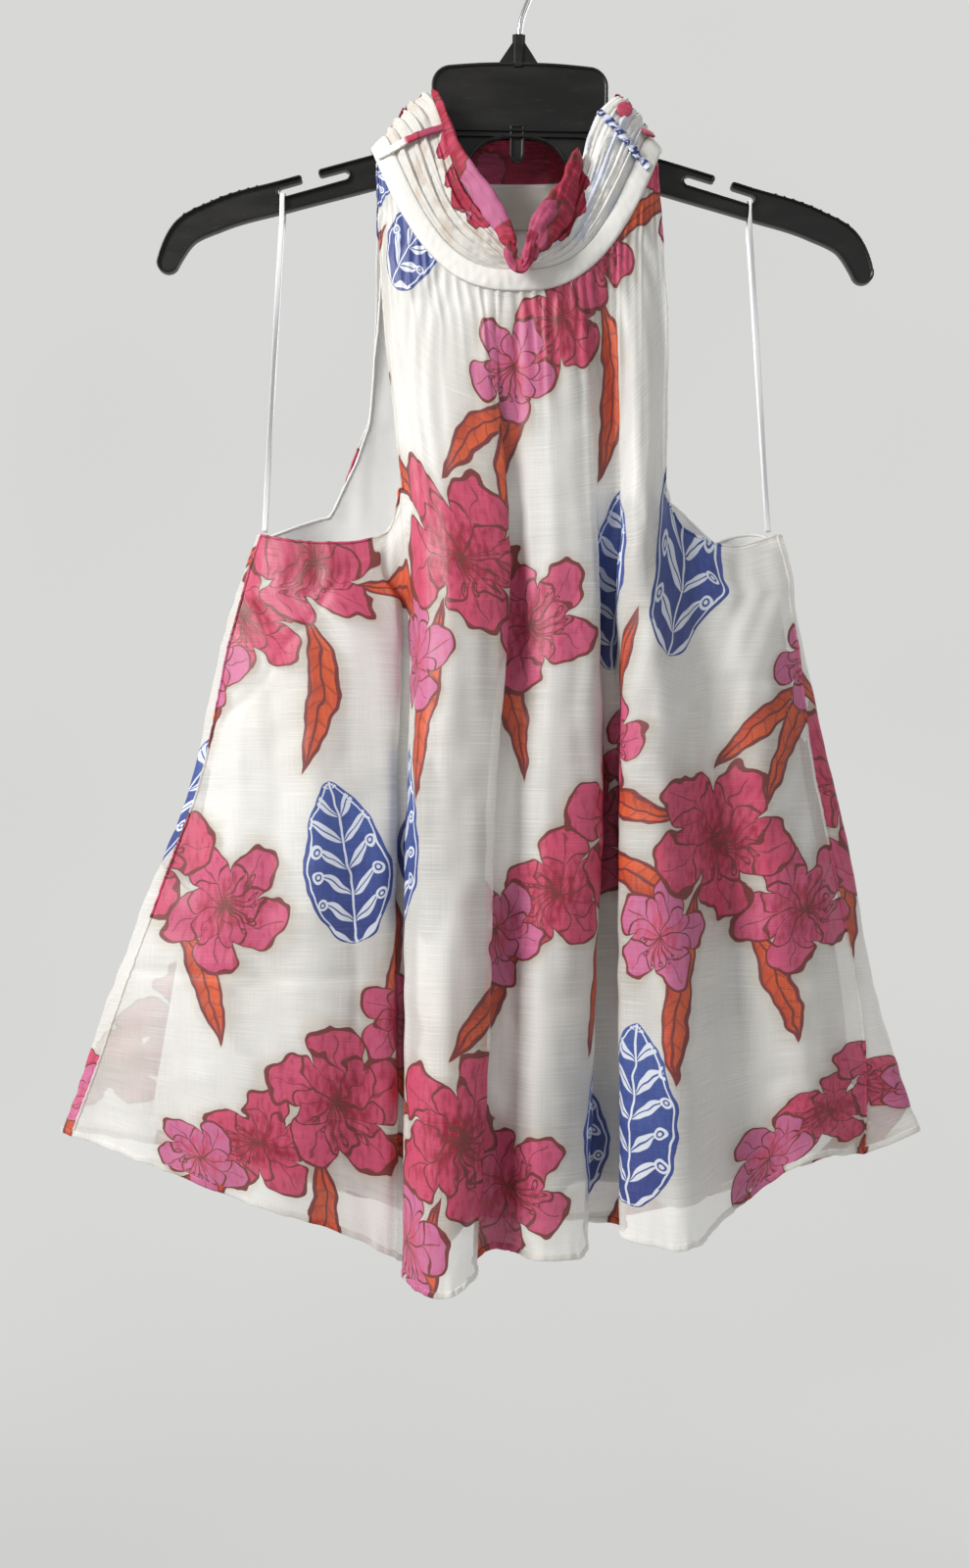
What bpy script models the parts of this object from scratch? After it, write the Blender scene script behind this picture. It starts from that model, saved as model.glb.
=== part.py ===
"""A sleeveless tie-neck blouse with a halter collar, hanging on a plastic hanger.

Every size below is in millimetres. The origin is the inside top of the hanger's hook, +Z is up,
+X is the wearer's left as seen from the front, and -Y is the front of the blouse.

The cloth is built the way it hangs. Each panel is a smooth surface through a table of its folds:
a row for each ridge or hollow that runs from the neck to the hem, and columns for where that line
stands at each level. The collar is a ring of cloth around the neck, and its parts are strips of it.
"""

import math

import bpy
import numpy as np

MM = 0.001

# Cloth
SHELL_WALL = 1.0
LINING_WALL = 0.9
BAND_WALL = 1.9
COLLAR_WALL = 1.0
SEAM_GAP = 0.35

# The neck ring, where the collar is sewn to the body. Angles go round from the front centre,
# positive towards +X, so that 180 degrees is the back centre.
RING_HALF_WIDTH = 86.0
RING_SHOULDER_Z = -145.0
RING_ROUNDNESS = 0.85
RING_FRONT = {"depth": 36.0, "drop": 92.5, "power": 2.6}
RING_BACK = {"depth": 26.0, "drop": 12.5, "power": 3.0}
LINING_INSET = 4.0
BAND_WIDTH = 11.0

# The collar's upper edge at the back
COLLAR_TOP = {"centre": 2.8, "half_width": 56.7, "depth": 30.0, "shoulder_z": -110.5, "drop": 22.0}
COLLAR_BULGE = {"left": 1.5, "right": 4.0, "back": 3.0}
PLEATS = 5
PLEAT_DEPTH = 1.3

# Where the pleats end at the inner edge of the collar's front, at each angle from the front centre
PLEAT_TOP = (
    # angle   left side           right side
    (0, (0.5, -39, -222.5), (0.5, -39, -222.5)),
    (8, (-5, -39, -214.5), (10, -38.5, -216)),
    (16, (-13, -36.5, -202), (20, -35, -202.5)),
    (28, (-22.5, -33, -189), (30, -30, -187)),
    (42, (-31.5, -28, -174.5), (35, -25, -171)),
    (56, (-37.5, -22.5, -156.5), (38.5, -20.5, -155.5)),
    (70, (-41.5, -17.5, -137), (42, -17, -141)),
    (80, (-46.5, -12.5, -121), (48.5, -13, -126)),
    (90, (-54, 0, -109.5), (59.5, 0, -112)),
)

# The soft roll along the collar's inner edge: its middle line, half its width and half its thickness
ROLL_LEFT = (
    # x      y    z     width thickness
    (-46, -17, -123, 2.0, 1.6),
    (-41, -22, -137, 3.2, 2.0),
    (-37, -26.5, -151.5, 4.6, 2.4),
    (-30.5, -32, -165.5, 5.8, 2.7),
    (-22.5, -36.5, -179, 6.4, 2.8),
    (-14.5, -40, -192, 6.2, 2.8),
    (-8, -43, -204, 5.2, 2.7),
    (-4.2, -45, -213.5, 3.8, 2.5),
    (-2.6, -45.5, -220, 2.0, 2.0),
)
ROLL_RIGHT = (
    (35.5, -26, -152.5, 4.0, 2.0),
    (34.3, -28.3, -161, 5.0, 2.4),
    (31.6, -32, -173, 5.8, 2.6),
    (27.6, -36.7, -183, 8.0, 2.8),
    (23, -41.5, -193.5, 10.0, 3.0),
    (16.5, -45, -203, 10.0, 3.2),
    (12, -46.5, -211.5, 8.5, 3.2),
    (7.5, -47, -218.5, 6.0, 3.0),
    (4.6, -47, -225, 3.2, 2.6),
    (3.2, -46, -229.5, 1.4, 1.6),
)

# Heights along a fold line, measured down from the neck
LEVEL_KNOTS = {"neck": 0, "yoke": 85, "arm": 170, "under": 214, "waist": 318, "hip": 433, "hem": 585}
UNDER_Z, WAIST_Z, HIP_Z = -419, -523, -638

# Fold tables. neck is the line's angle on the neck ring, None where it starts at an armhole, and bow
# is how far its middle strays sideways above the armhole. Then x and y at each level, with z at the
# armhole level and at the hem, and the number of columns of faces up to the next line.
FRONT_FOLDS = (
    # name         neck  bow   armhole x, y, z     under x, y   waist x, y   hip x, y     hem x, y, z        columns
    ("side_l", None, 0, (-153, -1.3, -375), (-166, -1.3), (-190, -1.3), (-231, -1.3), (-265, -1.3, -733), 3),
    ("panel_l1", None, 0, (-133, -9, -379), (-142, -12), (-156, -16), (-185, -18), (-209, -16, -750), 3),
    ("panel_l2", None, 0, (-111, -13, -381), (-114, -20), (-121, -26), (-138, -30), (-152, -28, -769), 2),
    ("panel_l3", None, 0, (-94, -12, -380), (-90, -20), (-91, -26), (-98, -28), (-104, -24, -785), 2),
    ("panel_l4", None, 0, (-81, -13, -376), (-71, -18), (-73, -24), (-75, -22), (-76, -17, -800), 2),
    ("valley_l1", None, 0, (-74, -13, -370), (-68, -6), (-70, -4), (-71.5, -4), (-72, -5, -806), 1),
    ("valley_l2", None, 0, (-70, -16, -360), (-64, -8), (-66, -4), (-67.5, -4), (-68, -5, -807), 3),
    ("col1_edge", -72, -3, (-66, -24, -351), (-61, -34), (-63, -40), (-64, -42), (-65, -40, -807), 3),
    ("col1_out", -58, -2, (-58, -38, -365), (-54, -46), (-56, -56), (-55, -60), (-55, -60, -811), 4),
    ("col1_crest", -38, 0, (-40, -46, -380), (-33, -54), (-38, -62), (-40, -66), (-40, -66, -812), 6),
    ("col1_in", -12, 0, (-4, -42, -382), (-4, -46), (-12, -54), (-15, -56), (-22, -54, -802), 1),
    ("tuck", -7, 0, (-8, -33, -381), (-9, -34), (-17, -38), (-20, -38), (-26, -36, -799), 1),
    ("mid_l", -2, 0, (0, -31, -381), (-1, -32), (-7, -34), (-11, -33), (-15, -30, -793), 3),
    ("mid_crest", 11, 0, (22, -40, -381), (22, -44), (18, -50), (14, -50), (11, -46, -796), 3),
    ("mid_r", 25, 0, (43, -34, -378), (45, -38), (47, -42), (44, -40), (39, -38, -795), 1),
    ("deep_l", 30, 0, (48, -18, -376), (50, -12), (51, -6), (47, -3), (43, -3, -784), 2),
    ("deep_r", 39, 0, (58, -17, -376), (59, -11), (60, -5), (61, -3), (62, -3, -786), 1),
    ("col2_edge", 44, 0, (60, -34, -378), (60, -38), (61, -42), (61, -42), (62, -38, -785), 3),
    ("col2_crest", 57, 0, (71, -42, -377), (74, -48), (80, -54), (84, -58), (91, -54, -789), 3),
    ("col2_out", 72, 3, (88, -24, -356), (91, -34), (102, -40), (107, -40), (113, -36, -782), 2),
    ("valley_r", None, 0, (99, -14, -373), (106, -20), (121, -24), (128, -22), (137, -18, -766), 3),
    ("panel_r", None, 0, (122, -12, -382), (129, -20), (144, -28), (155, -30), (166, -26, -745), 3),
    ("side_r", None, 0, (154, -1.3, -375), (163, -3), (177, -5), (201, -6), (206, -4, -743), 0),
)
BACK_FOLDS = (
    ("side_l", None, 0, (-153, 0.3, -374), (-166, 0.3), (-190, 0.3), (-232, 0.3), (-266, 0.3, -733), 1),
    ("turn_l", None, 0, (-157, 5, -374), (-171, 6), (-196, 7), (-240, 8), (-273, 8, -732), 2),
    ("fold_a", None, 0, (-143, 13, -374), (-154, 19), (-171, 22), (-201, 22), (-225, 20, -741), 2),
    ("fold_b", -72, 9, (-115, 17, -358), (-118, 26), (-130, 30), (-145, 32), (-159, 30, -758), 4),
    ("fold_c", -52, 4, (-91, 20, -359), (-90, 20), (-96, 20), (-105, 20), (-113, 18, -769), 4),
    ("fold_d", -32, 0, (-58, 24, -362), (-54, 29), (-57, 34), (-62, 36), (-67, 34, -783), 4),
    ("fold_e", -10, 0, (-21, 21, -365), (-18, 21), (-17, 21), (-18, 21), (-22, 19, -786), 4),
    ("fold_f", 12, 0, (15, 25, -364), (19, 30), (24, 35), (28, 37), (29, 35, -792), 4),
    ("fold_g", 34, 0, (51, 21, -362), (56, 20), (65, 21), (74, 21), (80, 19, -783), 4),
    ("fold_h", 54, 3, (82, 22, -358), (90, 27), (105, 31), (118, 33), (129, 31, -773), 4),
    ("fold_i", 72, -5, (110, 15, -356), (121, 19), (141, 20), (158, 20), (176, 18, -754), 2),
    ("fold_j", None, 0, (142, 12, -375), (151, 17), (171, 21), (192, 23), (211, 21, -744), 2),
    ("turn_r", None, 0, (159, 4, -375), (168, 5), (191, 6), (214, 7), (243, 8, -732), 1),
    ("side_r", None, 0, (156, -0.6, -375), (165, -2.2), (179.5, -4.2), (203.5, -5.2), (208.5, -3.2, -744), 0),
)
FRONT_LINING_FOLDS = (
    ("side_l", None, 0, (-150.4, -1.05, -377), (-162, -1.05), (-184, -1.05), (-204, -1.05), (-219, -1.05, -727), 2),
    ("panel_l1", None, 0, (-126, -5, -381), (-132, -9), (-142, -13), (-160, -15), (-175, -13, -741), 2),
    ("panel_l2", None, 0, (-97, -7, -381), (-96, -13), (-101, -17), (-108, -18), (-114, -15, -758), 2),
    ("valley_l", None, 0, (-77, -4, -373), (-63, 1), (-66, 2), (-67, 2), (-67, 1, -779), 2),
    ("col1_out", -70, -3, (-61, -14, -353), (-51, -15), (-54, -18), (-55, -20), (-55, -18, -787), 2),
    ("col1_crest", -36, 0, (-38, -30, -380), (-33, -34), (-37, -38), (-40, -40), (-41, -38, -789), 2),
    ("tuck", -6, 0, (-3, -22, -381), (-4, -20), (-12, -20), (-16, -20), (-19, -18, -770), 2),
    ("mid_crest", 8, 0, (23, -28, -382), (23, -28), (18, -32), (14, -32), (12, -28, -773), 2),
    ("deep_l", 26, 0, (44, -12, -378), (45, -2), (47, 1), (43, 2), (39, 2, -761), 1),
    ("deep_r", 40, 0, (62, -11, -378), (64, -1), (65, 1), (68, 2), (69, 2, -763), 2),
    ("col2_crest", 54, 0, (76, -26, -377), (80, -30), (86, -34), (92, -36), (97, -32, -769), 2),
    ("col2_out", 70, 3, (88, -12, -357), (100, -16), (113, -20), (122, -18), (132, -12, -753), 2),
    ("panel_r", None, 0, (123, -6, -383), (133, -11), (149, -16), (160, -18), (166, -14, -732), 2),
    ("side_r", None, 0, (150.6, -1.05, -377), (158, -2), (172.5, -3), (193, -3), (198, -2, -728), 0),
)
BACK_LINING_FOLDS = (
    ("side_l", None, 0, (-150.4, 1.05, -377), (-162, 1.05), (-184, 1.05), (-204, 1.05), (-219, 1.05, -727), 2),
    ("fold_b", -70, 9, (-110, 11, -362), (-117, 16), (-129, 17), (-142, 17), (-154, 15, -740), 3),
    ("fold_c", -50, 4, (-88, 14, -363), (-87, 14), (-93, 14), (-101, 14), (-111, 13, -749), 3),
    ("fold_e", 0, 0, (-4, 15, -368), (-2, 16), (-2, 16), (-2, 16), (-4, 15, -761), 3),
    ("fold_g", 50, 3, (76, 15, -363), (80, 15), (91, 15), (99, 15), (106, 14, -755), 3),
    ("fold_i", 70, -5, (106, 10, -360), (117, 12), (136, 14), (153, 15), (166, 13, -738), 2),
    ("side_r", None, 0, (150.6, 1.05, -377), (158, 0.4), (172.5, -0.4), (193, -0.4), (198, 0.4, -728), 0),
)

# Gathers where the body is drawn into the neckband: half their height, and how soon they fade
GATHER_DEPTH = 1.1
GATHER_FADE = 24.0

# Hanger, measured about its own middle line and then tipped a little, as it hangs
HANGER_MIDDLE = 1.5
HANGER_TILT = math.radians(0.9)
HANGER_PIVOT_Z = -75.0
ARM_LINE = (
    # reach  height  half width
    (36, -144.5, 8.5),
    (81, -158.0, 9.6),
    (137, -174.0, 9.3),
    (178, -186.5, 9.0),
    (198, -197.5, 8.3),
    (205.5, -210.0, 7.2),
    (207.5, -215.0, 6.6),
)
ARM_DEPTH = 7.0
SLOT = {"start": 102.0, "end": 144.0, "mouth_start": 119.0, "mouth_end": 128.5, "lip": 4.0, "height": 6.0}
PLATE = {"half_width": 52.8, "aside": 1.1, "top": -92.8, "bottom": -134.0, "corner": 12.0, "depth": 6.0, "arch": 2.0}
NECK = {"half_top": 3.8, "half_base": 12.0, "top": -75.6, "shoulder": -80.5}
TAB = {"half_width": 4.2, "bottom": -151.5}
WIRE = 3.2
HOOK_RADIUS = 19.0

BUTTON = {"diameter": 9.4, "height": 4.6}
RIBBON = {"width": 3.2, "thickness": 0.8, "reach": 139.5, "foot_x": 150.5, "foot_z": -374.0}
LABEL = {"left": -18.2, "right": 21.2, "top": -160.5, "length": 26.0, "wall": 0.6}
CARRIER_LEFT = {"low_angle": -72.5, "high_angle": -70, "top": 0.84, "width": 4.0}
CARRIER_RIGHT = {"low_angle": 69.5, "high_angle": 78.5, "top": 0.98, "width": 5.2}
CARRIER_WALL = 1.0

COLOURS = {
    "printed cloth": ((0.75, 0.72, 0.64), 0.75),
    "crimson print": ((0.31, 0.02, 0.05), 0.75),
    "white lining": ((0.83, 0.83, 0.81), 0.7),
    "cream band": ((0.78, 0.75, 0.68), 0.75),
    "blue print": ((0.05, 0.07, 0.24), 0.75),
    "pink cover": ((0.58, 0.07, 0.16), 0.6),
    "satin": ((0.83, 0.83, 0.85), 0.35),
    "label": ((0.72, 0.70, 0.65), 0.8),
    "black plastic": ((0.01, 0.01, 0.01), 0.4),
    "bright wire": ((0.75, 0.75, 0.76), 0.2),
}


# ---------------------------------------------------------------- curves and surfaces


def spline_weights(knots, places):
    """Weights that read a smooth curve through one value at each knot, at any places.

    Each stretch is a cubic with the slopes of its two knots, and a knot's slope is the mean of the
    slopes of the stretches beside it, the shorter stretch counting for more.
    """
    knots = np.asarray(knots, float)
    places = np.asarray(places, float)
    count = len(knots)
    gaps = np.diff(knots)
    slopes = (np.eye(count)[1:] - np.eye(count)[:-1]) / gaps[:, None]
    tangents = np.zeros((count, count))
    inner = gaps[1:, None] * slopes[:-1] + gaps[:-1, None] * slopes[1:]
    tangents[1:-1] = inner / (gaps[1:] + gaps[:-1])[:, None]
    tangents[0] = 1.5 * slopes[0] - 0.5 * tangents[1]
    tangents[-1] = 1.5 * slopes[-1] - 0.5 * tangents[-2]
    at = np.clip(np.searchsorted(knots, places, side="right") - 1, 0, count - 2)
    f = ((places - knots[at]) / gaps[at])[:, None]
    span = gaps[at][:, None]
    ends = np.eye(count)
    return (
        (2 * f**3 - 3 * f**2 + 1) * ends[at]
        + (f**3 - 2 * f**2 + f) * span * tangents[at]
        + (3 * f**2 - 2 * f**3) * ends[at + 1]
        + (f**3 - f**2) * span * tangents[at + 1]
    )


def smooth_path(points, count):
    """count points at even steps of the knots' own spacing, on a smooth curve through the points."""
    points = np.asarray(points, float)
    steps = np.linalg.norm(np.diff(points[:, :3], axis=0), axis=1)
    knots = np.concatenate([[0.0], np.cumsum(steps)])
    return spline_weights(knots, np.linspace(0, knots[-1], count)) @ points


def unit(vectors):
    return vectors / np.linalg.norm(vectors, axis=-1, keepdims=True)


def neck_ring(angle, inset=0.0):
    """Points of the seam between collar and body, at angles in degrees from the front centre."""
    turn = np.radians(np.asarray(angle, float))
    front = np.cos(turn) > 0
    depth = np.where(front, RING_FRONT["depth"], RING_BACK["depth"]) - inset
    drop = np.where(front, RING_FRONT["drop"], RING_BACK["drop"])
    power = np.where(front, RING_FRONT["power"], RING_BACK["power"])
    x = (RING_HALF_WIDTH - 0.7 * inset) * np.sin(turn)
    y = -depth * np.sign(np.cos(turn)) * np.abs(np.cos(turn)) ** RING_ROUNDNESS
    z = RING_SHOULDER_Z - drop * (1 - np.abs(np.sin(turn)) ** power)
    return np.stack([x, y, z], axis=-1)


def collar_edge(angle):
    """The collar's upper edge at angles in degrees: where its pleats end in front, and its rim behind."""
    angle = np.asarray(angle, float)
    turn = np.radians(angle)
    top = COLLAR_TOP
    behind = np.stack(
        [
            top["centre"] + top["half_width"] * np.sin(turn),
            -top["depth"] * np.cos(turn),
            top["shoulder_z"] - top["drop"] * (1 - np.sin(turn) ** 2),
        ],
        axis=-1,
    )
    rows = [row[0] for row in PLEAT_TOP]
    reach = np.clip(np.abs(angle), 0, rows[-1])
    weights = spline_weights(rows, reach.ravel())
    left = (weights @ np.array([row[1] for row in PLEAT_TOP], float)).reshape(angle.shape + (3,))
    right = (weights @ np.array([row[2] for row in PLEAT_TOP], float)).reshape(angle.shape + (3,))
    before = np.where((angle < 0)[..., None], left, right)
    return np.where((np.abs(angle) > 90)[..., None], behind, before)


def collar_normal(angle):
    """The direction straight out of the collar, from its slope up and its run round the neck."""
    step = 1.0
    run = neck_ring(angle + step) - neck_ring(angle - step)
    run = run + collar_edge(angle + step) - collar_edge(angle - step)
    return unit(np.cross(run, collar_edge(angle) - neck_ring(angle)))


def collar_surface(angle, share, pleat_depth=PLEAT_DEPTH):
    """Points above the band: share runs from 0 at the band to 1 at the upper edge.

    The cloth is a straight line between the two edges, bowed outwards, with pleats as a leaning
    wave that runs round the neck and dies away where the collar narrows to the front centre.
    """
    low = neck_ring(angle)
    rise = collar_edge(angle) - low
    height = np.linalg.norm(rise, axis=-1, keepdims=True)
    foot = low + rise / height * (BAND_WIDTH + SEAM_GAP)
    room = height[..., 0] - BAND_WIDTH
    wave = 2 * np.pi * PLEATS * share
    leaning = 0.5 - 0.5 * np.cos(wave + 0.4 * np.sin(wave))
    fade = np.clip((room - 14.0) / 20.0, 0, 1)
    within = np.clip(share, 0, 1)
    before = np.where(angle < 0, COLLAR_BULGE["left"], COLLAR_BULGE["right"])
    bulge = np.where(np.abs(angle) > 90, COLLAR_BULGE["back"], before)
    bow = bulge * 4 * within * (1 - within)
    out = (bow * fade + pleat_depth * leaning * fade)[..., None] * collar_normal(angle)
    return foot + (collar_edge(angle) - foot) * share[..., None] + out


# ---------------------------------------------------------------- panels


class Panel:
    """A body panel: fold lines side by side, each a smooth curve from the neck or armhole to the hem."""

    def __init__(self, folds, back=False, inset=0.0, gather=0.0):
        self.side = 1.0 if back else -1.0
        self.gather = gather
        self.necks = [row[1] for row in folds]
        rows = [index for index, neck in enumerate(self.necks) if neck is not None]
        self.first, self.last = rows[0], rows[-1]
        self.points = np.array([self.stations(row, back, inset) for row in folds])
        self.mirror_past(self.first, -1)
        self.mirror_past(self.last, 1)
        waist = self.points[:, list(LEVEL_KNOTS).index("waist"), :2]
        steps = np.sqrt(np.linalg.norm(np.diff(waist, axis=0), axis=1))
        self.knots = np.concatenate([[0.0], np.cumsum(steps)])
        self.levels = np.array(list(LEVEL_KNOTS.values()), float)
        self.columns = [row[-1] for row in folds]
        self.back, self.inset = back, inset

    def stations(self, row, back, inset):
        """A fold line's points at the seven levels."""
        _, neck, bow, arm, under, waist, hip, hem, _ = row
        arm = np.array(arm, float)
        if neck is None:
            top = yoke = np.zeros(3)
        else:
            top = self.neck_point(neck, back, inset)
            yoke = (top + arm) / 2 + np.array([bow, 0, 0])
        return [top, yoke, arm, (*under, UNDER_Z), (*waist, WAIST_Z), (*hip, HIP_Z), hem]

    def neck_point(self, neck, back, inset):
        """Where the panel is sewn on, just below the ring."""
        angle = 180 - np.asarray(neck, float) if back else np.asarray(neck, float)
        low = neck_ring(angle, inset)
        return low - unit(collar_edge(angle) - low) * (SEAM_GAP + 0.4 * self.gather)

    def mirror_past(self, edge, step):
        """Above the armhole a line beyond the panel's edge only mirrors the one inside it."""
        past, inside = edge + step, edge - step
        self.points[past, :2] = 2 * self.points[edge, :2] - self.points[inside, :2]

    def smooth(self, across, down):
        """Points on the folds. Near the neck they're eased over to the true curve of the seam."""
        weights = spline_weights(self.knots, across)
        levels = spline_weights(self.levels, down)
        points = np.einsum("pi,ijk,pj->pk", weights, self.points, levels)
        yoke = slice(self.first, self.last + 1)
        seam_knots = self.knots[yoke]
        at = np.clip(across, seam_knots[0], seam_knots[-1])
        angle = spline_weights(seam_knots, at) @ np.array(self.necks[yoke], float)
        drawn = weights @ self.points[:, 0]
        eased = np.exp(-((down / 40.0) ** 2))[:, None]
        return points + (self.neck_point(angle, self.back, self.inset) - drawn) * eased

    def normals(self, across, down):
        """Directions away from the hollow, from small steps both ways along the surface."""
        aside, below = 0.05, 0.4
        along = self.smooth(across + aside, down) - self.smooth(across - aside, down)
        fall = self.smooth(across, down + below) - self.smooth(across, down - below)
        return unit(np.cross(fall, along)) * -self.side

    def surface(self, across, down, phase):
        """The surface with its gathers, a wave across that dies away down the panel and to its sides."""
        yoke = self.knots[self.first], self.knots[self.last]
        aside = (2 * across - yoke[0] - yoke[1]) / (yoke[1] - yoke[0])
        fade = self.gather * np.exp(-down / GATHER_FADE) * (1 - 0.6 * np.exp(-down / 4.0))
        fade = fade * (1 - 0.6 * np.clip(np.abs(aside), 0, 1) ** 2)
        wave = np.cos(2 * np.pi * (phase + 0.1 * np.sin(1.7 * phase)))
        return self.smooth(across, down) + (fade * wave)[:, None] * self.normals(across, down)

    def column_places(self, first, last, split):
        """(places across, phase of the gathers) of the face columns between two fold lines."""
        places, phases, start = [], [], sum(self.columns[:first])
        for index in range(first, last):
            count = self.columns[index] * split
            ends = self.knots[index], self.knots[index + 1]
            places.append(np.linspace(*ends, count, endpoint=False))
            phases.append(start + np.arange(count) / split)
            start += self.columns[index]
        places.append([self.knots[last]])
        phases.append([start])
        return np.concatenate(places), np.concatenate(phases)


def stitch(upper, lower):
    """Faces between two rows of point numbers. The upper row may have twice as many steps."""
    faces = []
    if len(upper) == len(lower):
        for a, b, c, d in zip(upper, upper[1:], lower, lower[1:]):
            faces += [(a, c, d), (a, d, b)]
        return faces
    for index, (c, d) in enumerate(zip(lower, lower[1:])):
        a, middle, b = upper[2 * index : 2 * index + 3]
        faces += [(a, c, middle), (c, d, middle), (middle, d, b)]
    return faces


def panel_mesh(panel, yoke_rows, body_rows):
    """Points and faces of a panel. The gathered rows are fine, and their columns halve going down.

    yoke_rows holds (distance below the neck, split of the columns), body_rows the distances from
    the armhole level to the hem.
    """
    points, faces = [], []
    count = 0

    def add_row(first, last, down, split):
        nonlocal count
        across, phase = panel.column_places(first, last, split)
        points.append(panel.surface(across, np.full(len(across), float(down)), phase))
        numbers = list(range(count, count + len(across)))
        count += len(across)
        return numbers

    above = None
    for down, split in yoke_rows:
        row = add_row(panel.first, panel.last, down, split)
        if above:
            faces += stitch(above, row)
        above = row
    arm_row = add_row(0, len(panel.columns) - 1, body_rows[0], 1)
    start = sum(panel.columns[: panel.first])
    faces += stitch(above, arm_row[start : start + len(above)])
    above = arm_row
    for down in body_rows[1:]:
        row = add_row(0, len(panel.columns) - 1, down, 1)
        faces += stitch(above, row)
        above = row
    if panel.side > 0:
        faces = [face[::-1] for face in faces]
    return np.concatenate(points), faces


def grid_faces(rows, columns):
    numbers = np.arange(rows * columns).reshape(rows, columns).tolist()
    return [face for upper, lower in zip(numbers, numbers[1:]) for face in stitch(upper, lower)]


# ---------------------------------------------------------------- objects


def clear_scene():
    for obj in list(bpy.data.objects):
        bpy.data.objects.remove(obj, do_unlink=True)


def material(name):
    colour, roughness = COLOURS[name]
    made = bpy.data.materials.get(name) or bpy.data.materials.new(name)
    made.use_nodes = True
    shader = made.node_tree.nodes["Principled BSDF"]
    shader.inputs["Base Color"].default_value = (*colour, 1)
    shader.inputs["Roughness"].default_value = roughness
    shader.inputs["Metallic"].default_value = 1.0 if name == "bright wire" else 0.0
    return made


def mesh_object(name, points, faces, finish, smooth=True):
    mesh = bpy.data.meshes.new(name)
    mesh.from_pydata((np.asarray(points) * MM).tolist(), [], faces)
    mesh.update()
    if smooth:
        mesh.shade_smooth()
    obj = bpy.data.objects.new(name, mesh)
    bpy.context.collection.objects.link(obj)
    mesh.materials.append(material(finish))
    return obj


def cloth_object(name, points, faces, wall, finish):
    """A sheet given its thickness on the side away from its faces."""
    obj = mesh_object(name, points, faces, finish)
    thick = obj.modifiers.new("wall", "SOLIDIFY")
    thick.thickness = wall * MM
    thick.offset = -1.0
    return obj


def tube_object(name, sections, finish, smooth=True):
    """A closed body through rings of points, with a fan over each end."""
    rows, count = sections.shape[:2]
    points = np.concatenate([sections.reshape(-1, 3), sections[:1].mean(1), sections[-1:].mean(1)])
    around = np.arange(count)
    after = (around + 1) % count
    faces = []
    for row in range(rows - 1):
        near, far = row * count, (row + 1) * count
        faces += np.stack([near + around, near + after, far + after, far + around], 1).tolist()
    first, last = rows * count, rows * count + 1
    end = (rows - 1) * count
    faces += np.stack([np.full(count, first), after, around], 1).tolist()
    faces += np.stack([np.full(count, last), end + around, end + after], 1).tolist()
    return mesh_object(name, points, faces, finish, smooth)


# ---------------------------------------------------------------- the blouse


def build_body():
    yoke_rows = [(0, 4), (4, 4), (10, 4), (19, 2), (32, 2), (50, 1), (80, 1), (112, 1), (142, 1)]
    levels = LEVEL_KNOTS
    body_rows = np.concatenate(
        [
            np.linspace(levels["arm"], levels["under"], 2, endpoint=False),
            np.linspace(levels["under"], levels["waist"], 3, endpoint=False),
            np.linspace(levels["waist"], levels["hip"], 3, endpoint=False),
            np.linspace(levels["hip"], levels["hem"], 5),
        ]
    )
    plain_yoke = [(0, 1), (22, 1), (50, 1), (85, 1), (125, 1)]
    back_yoke = [(0, 2), (4, 2), (11, 2), (22, 2), (45, 1), (85, 1), (125, 1)]
    front = Panel(FRONT_FOLDS, gather=GATHER_DEPTH)
    back = Panel(BACK_FOLDS, back=True, gather=GATHER_DEPTH * 0.8)
    front_lining = Panel(FRONT_LINING_FOLDS, inset=LINING_INSET)
    back_lining = Panel(BACK_LINING_FOLDS, back=True, inset=LINING_INSET)
    cloth_object("front", *panel_mesh(front, yoke_rows, body_rows), SHELL_WALL, "printed cloth")
    cloth_object("back", *panel_mesh(back, back_yoke, body_rows), SHELL_WALL, "printed cloth")
    rows = body_rows[::2]
    cloth_object("front_lining", *panel_mesh(front_lining, plain_yoke, rows), LINING_WALL, "white lining")
    cloth_object("back_lining", *panel_mesh(back_lining, plain_yoke, rows), LINING_WALL, "white lining")


def collar_strip(name, angles, rows, pleat_depth, finish):
    """A stretch of the pleated collar, a column of points at each of the angles."""
    angle, share = np.meshgrid(angles, np.linspace(1, 0, rows), indexing="xy")
    points = collar_surface(angle, share, pleat_depth)
    cloth_object(name, points.reshape(-1, 3), grid_faces(rows, len(angles)), COLLAR_WALL, finish)


def band_strip(name, start, end, columns):
    """The plain band between the body and the pleats, a little proud of both."""
    angle, share = np.meshgrid(np.linspace(start, end, columns), np.linspace(1, 0, 4), indexing="xy")
    low = neck_ring(angle)
    up = unit(collar_edge(angle) - low)
    proud = (0.9 + 0.9 * np.sin(np.pi * share))[..., None] * collar_normal(angle)
    points = low + up * (BAND_WIDTH * share)[..., None] + proud
    cloth_object(name, points.reshape(-1, 3), grid_faces(4, columns), BAND_WALL, "cream band")


def roll(name, stations, finish):
    """The soft roll of the collar's inner edge: an oval carried along its line."""
    line = smooth_path(stations, 13)
    middle, wide, thick = line[:, None, :3], line[:, None, 3:4], line[:, None, 4:5]
    along = unit(np.gradient(line[:, :3], axis=0))[:, None]
    out = unit(middle * np.array([1.0, 1.0, 0.0]))
    across = unit(np.cross(out, along))
    lift = unit(np.cross(along, across))
    turn = np.linspace(0, 2 * np.pi, 10, endpoint=False)[None, :, None]
    tube_object(name, middle + across * wide * np.cos(turn) + lift * thick * np.sin(turn), finish)


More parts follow.
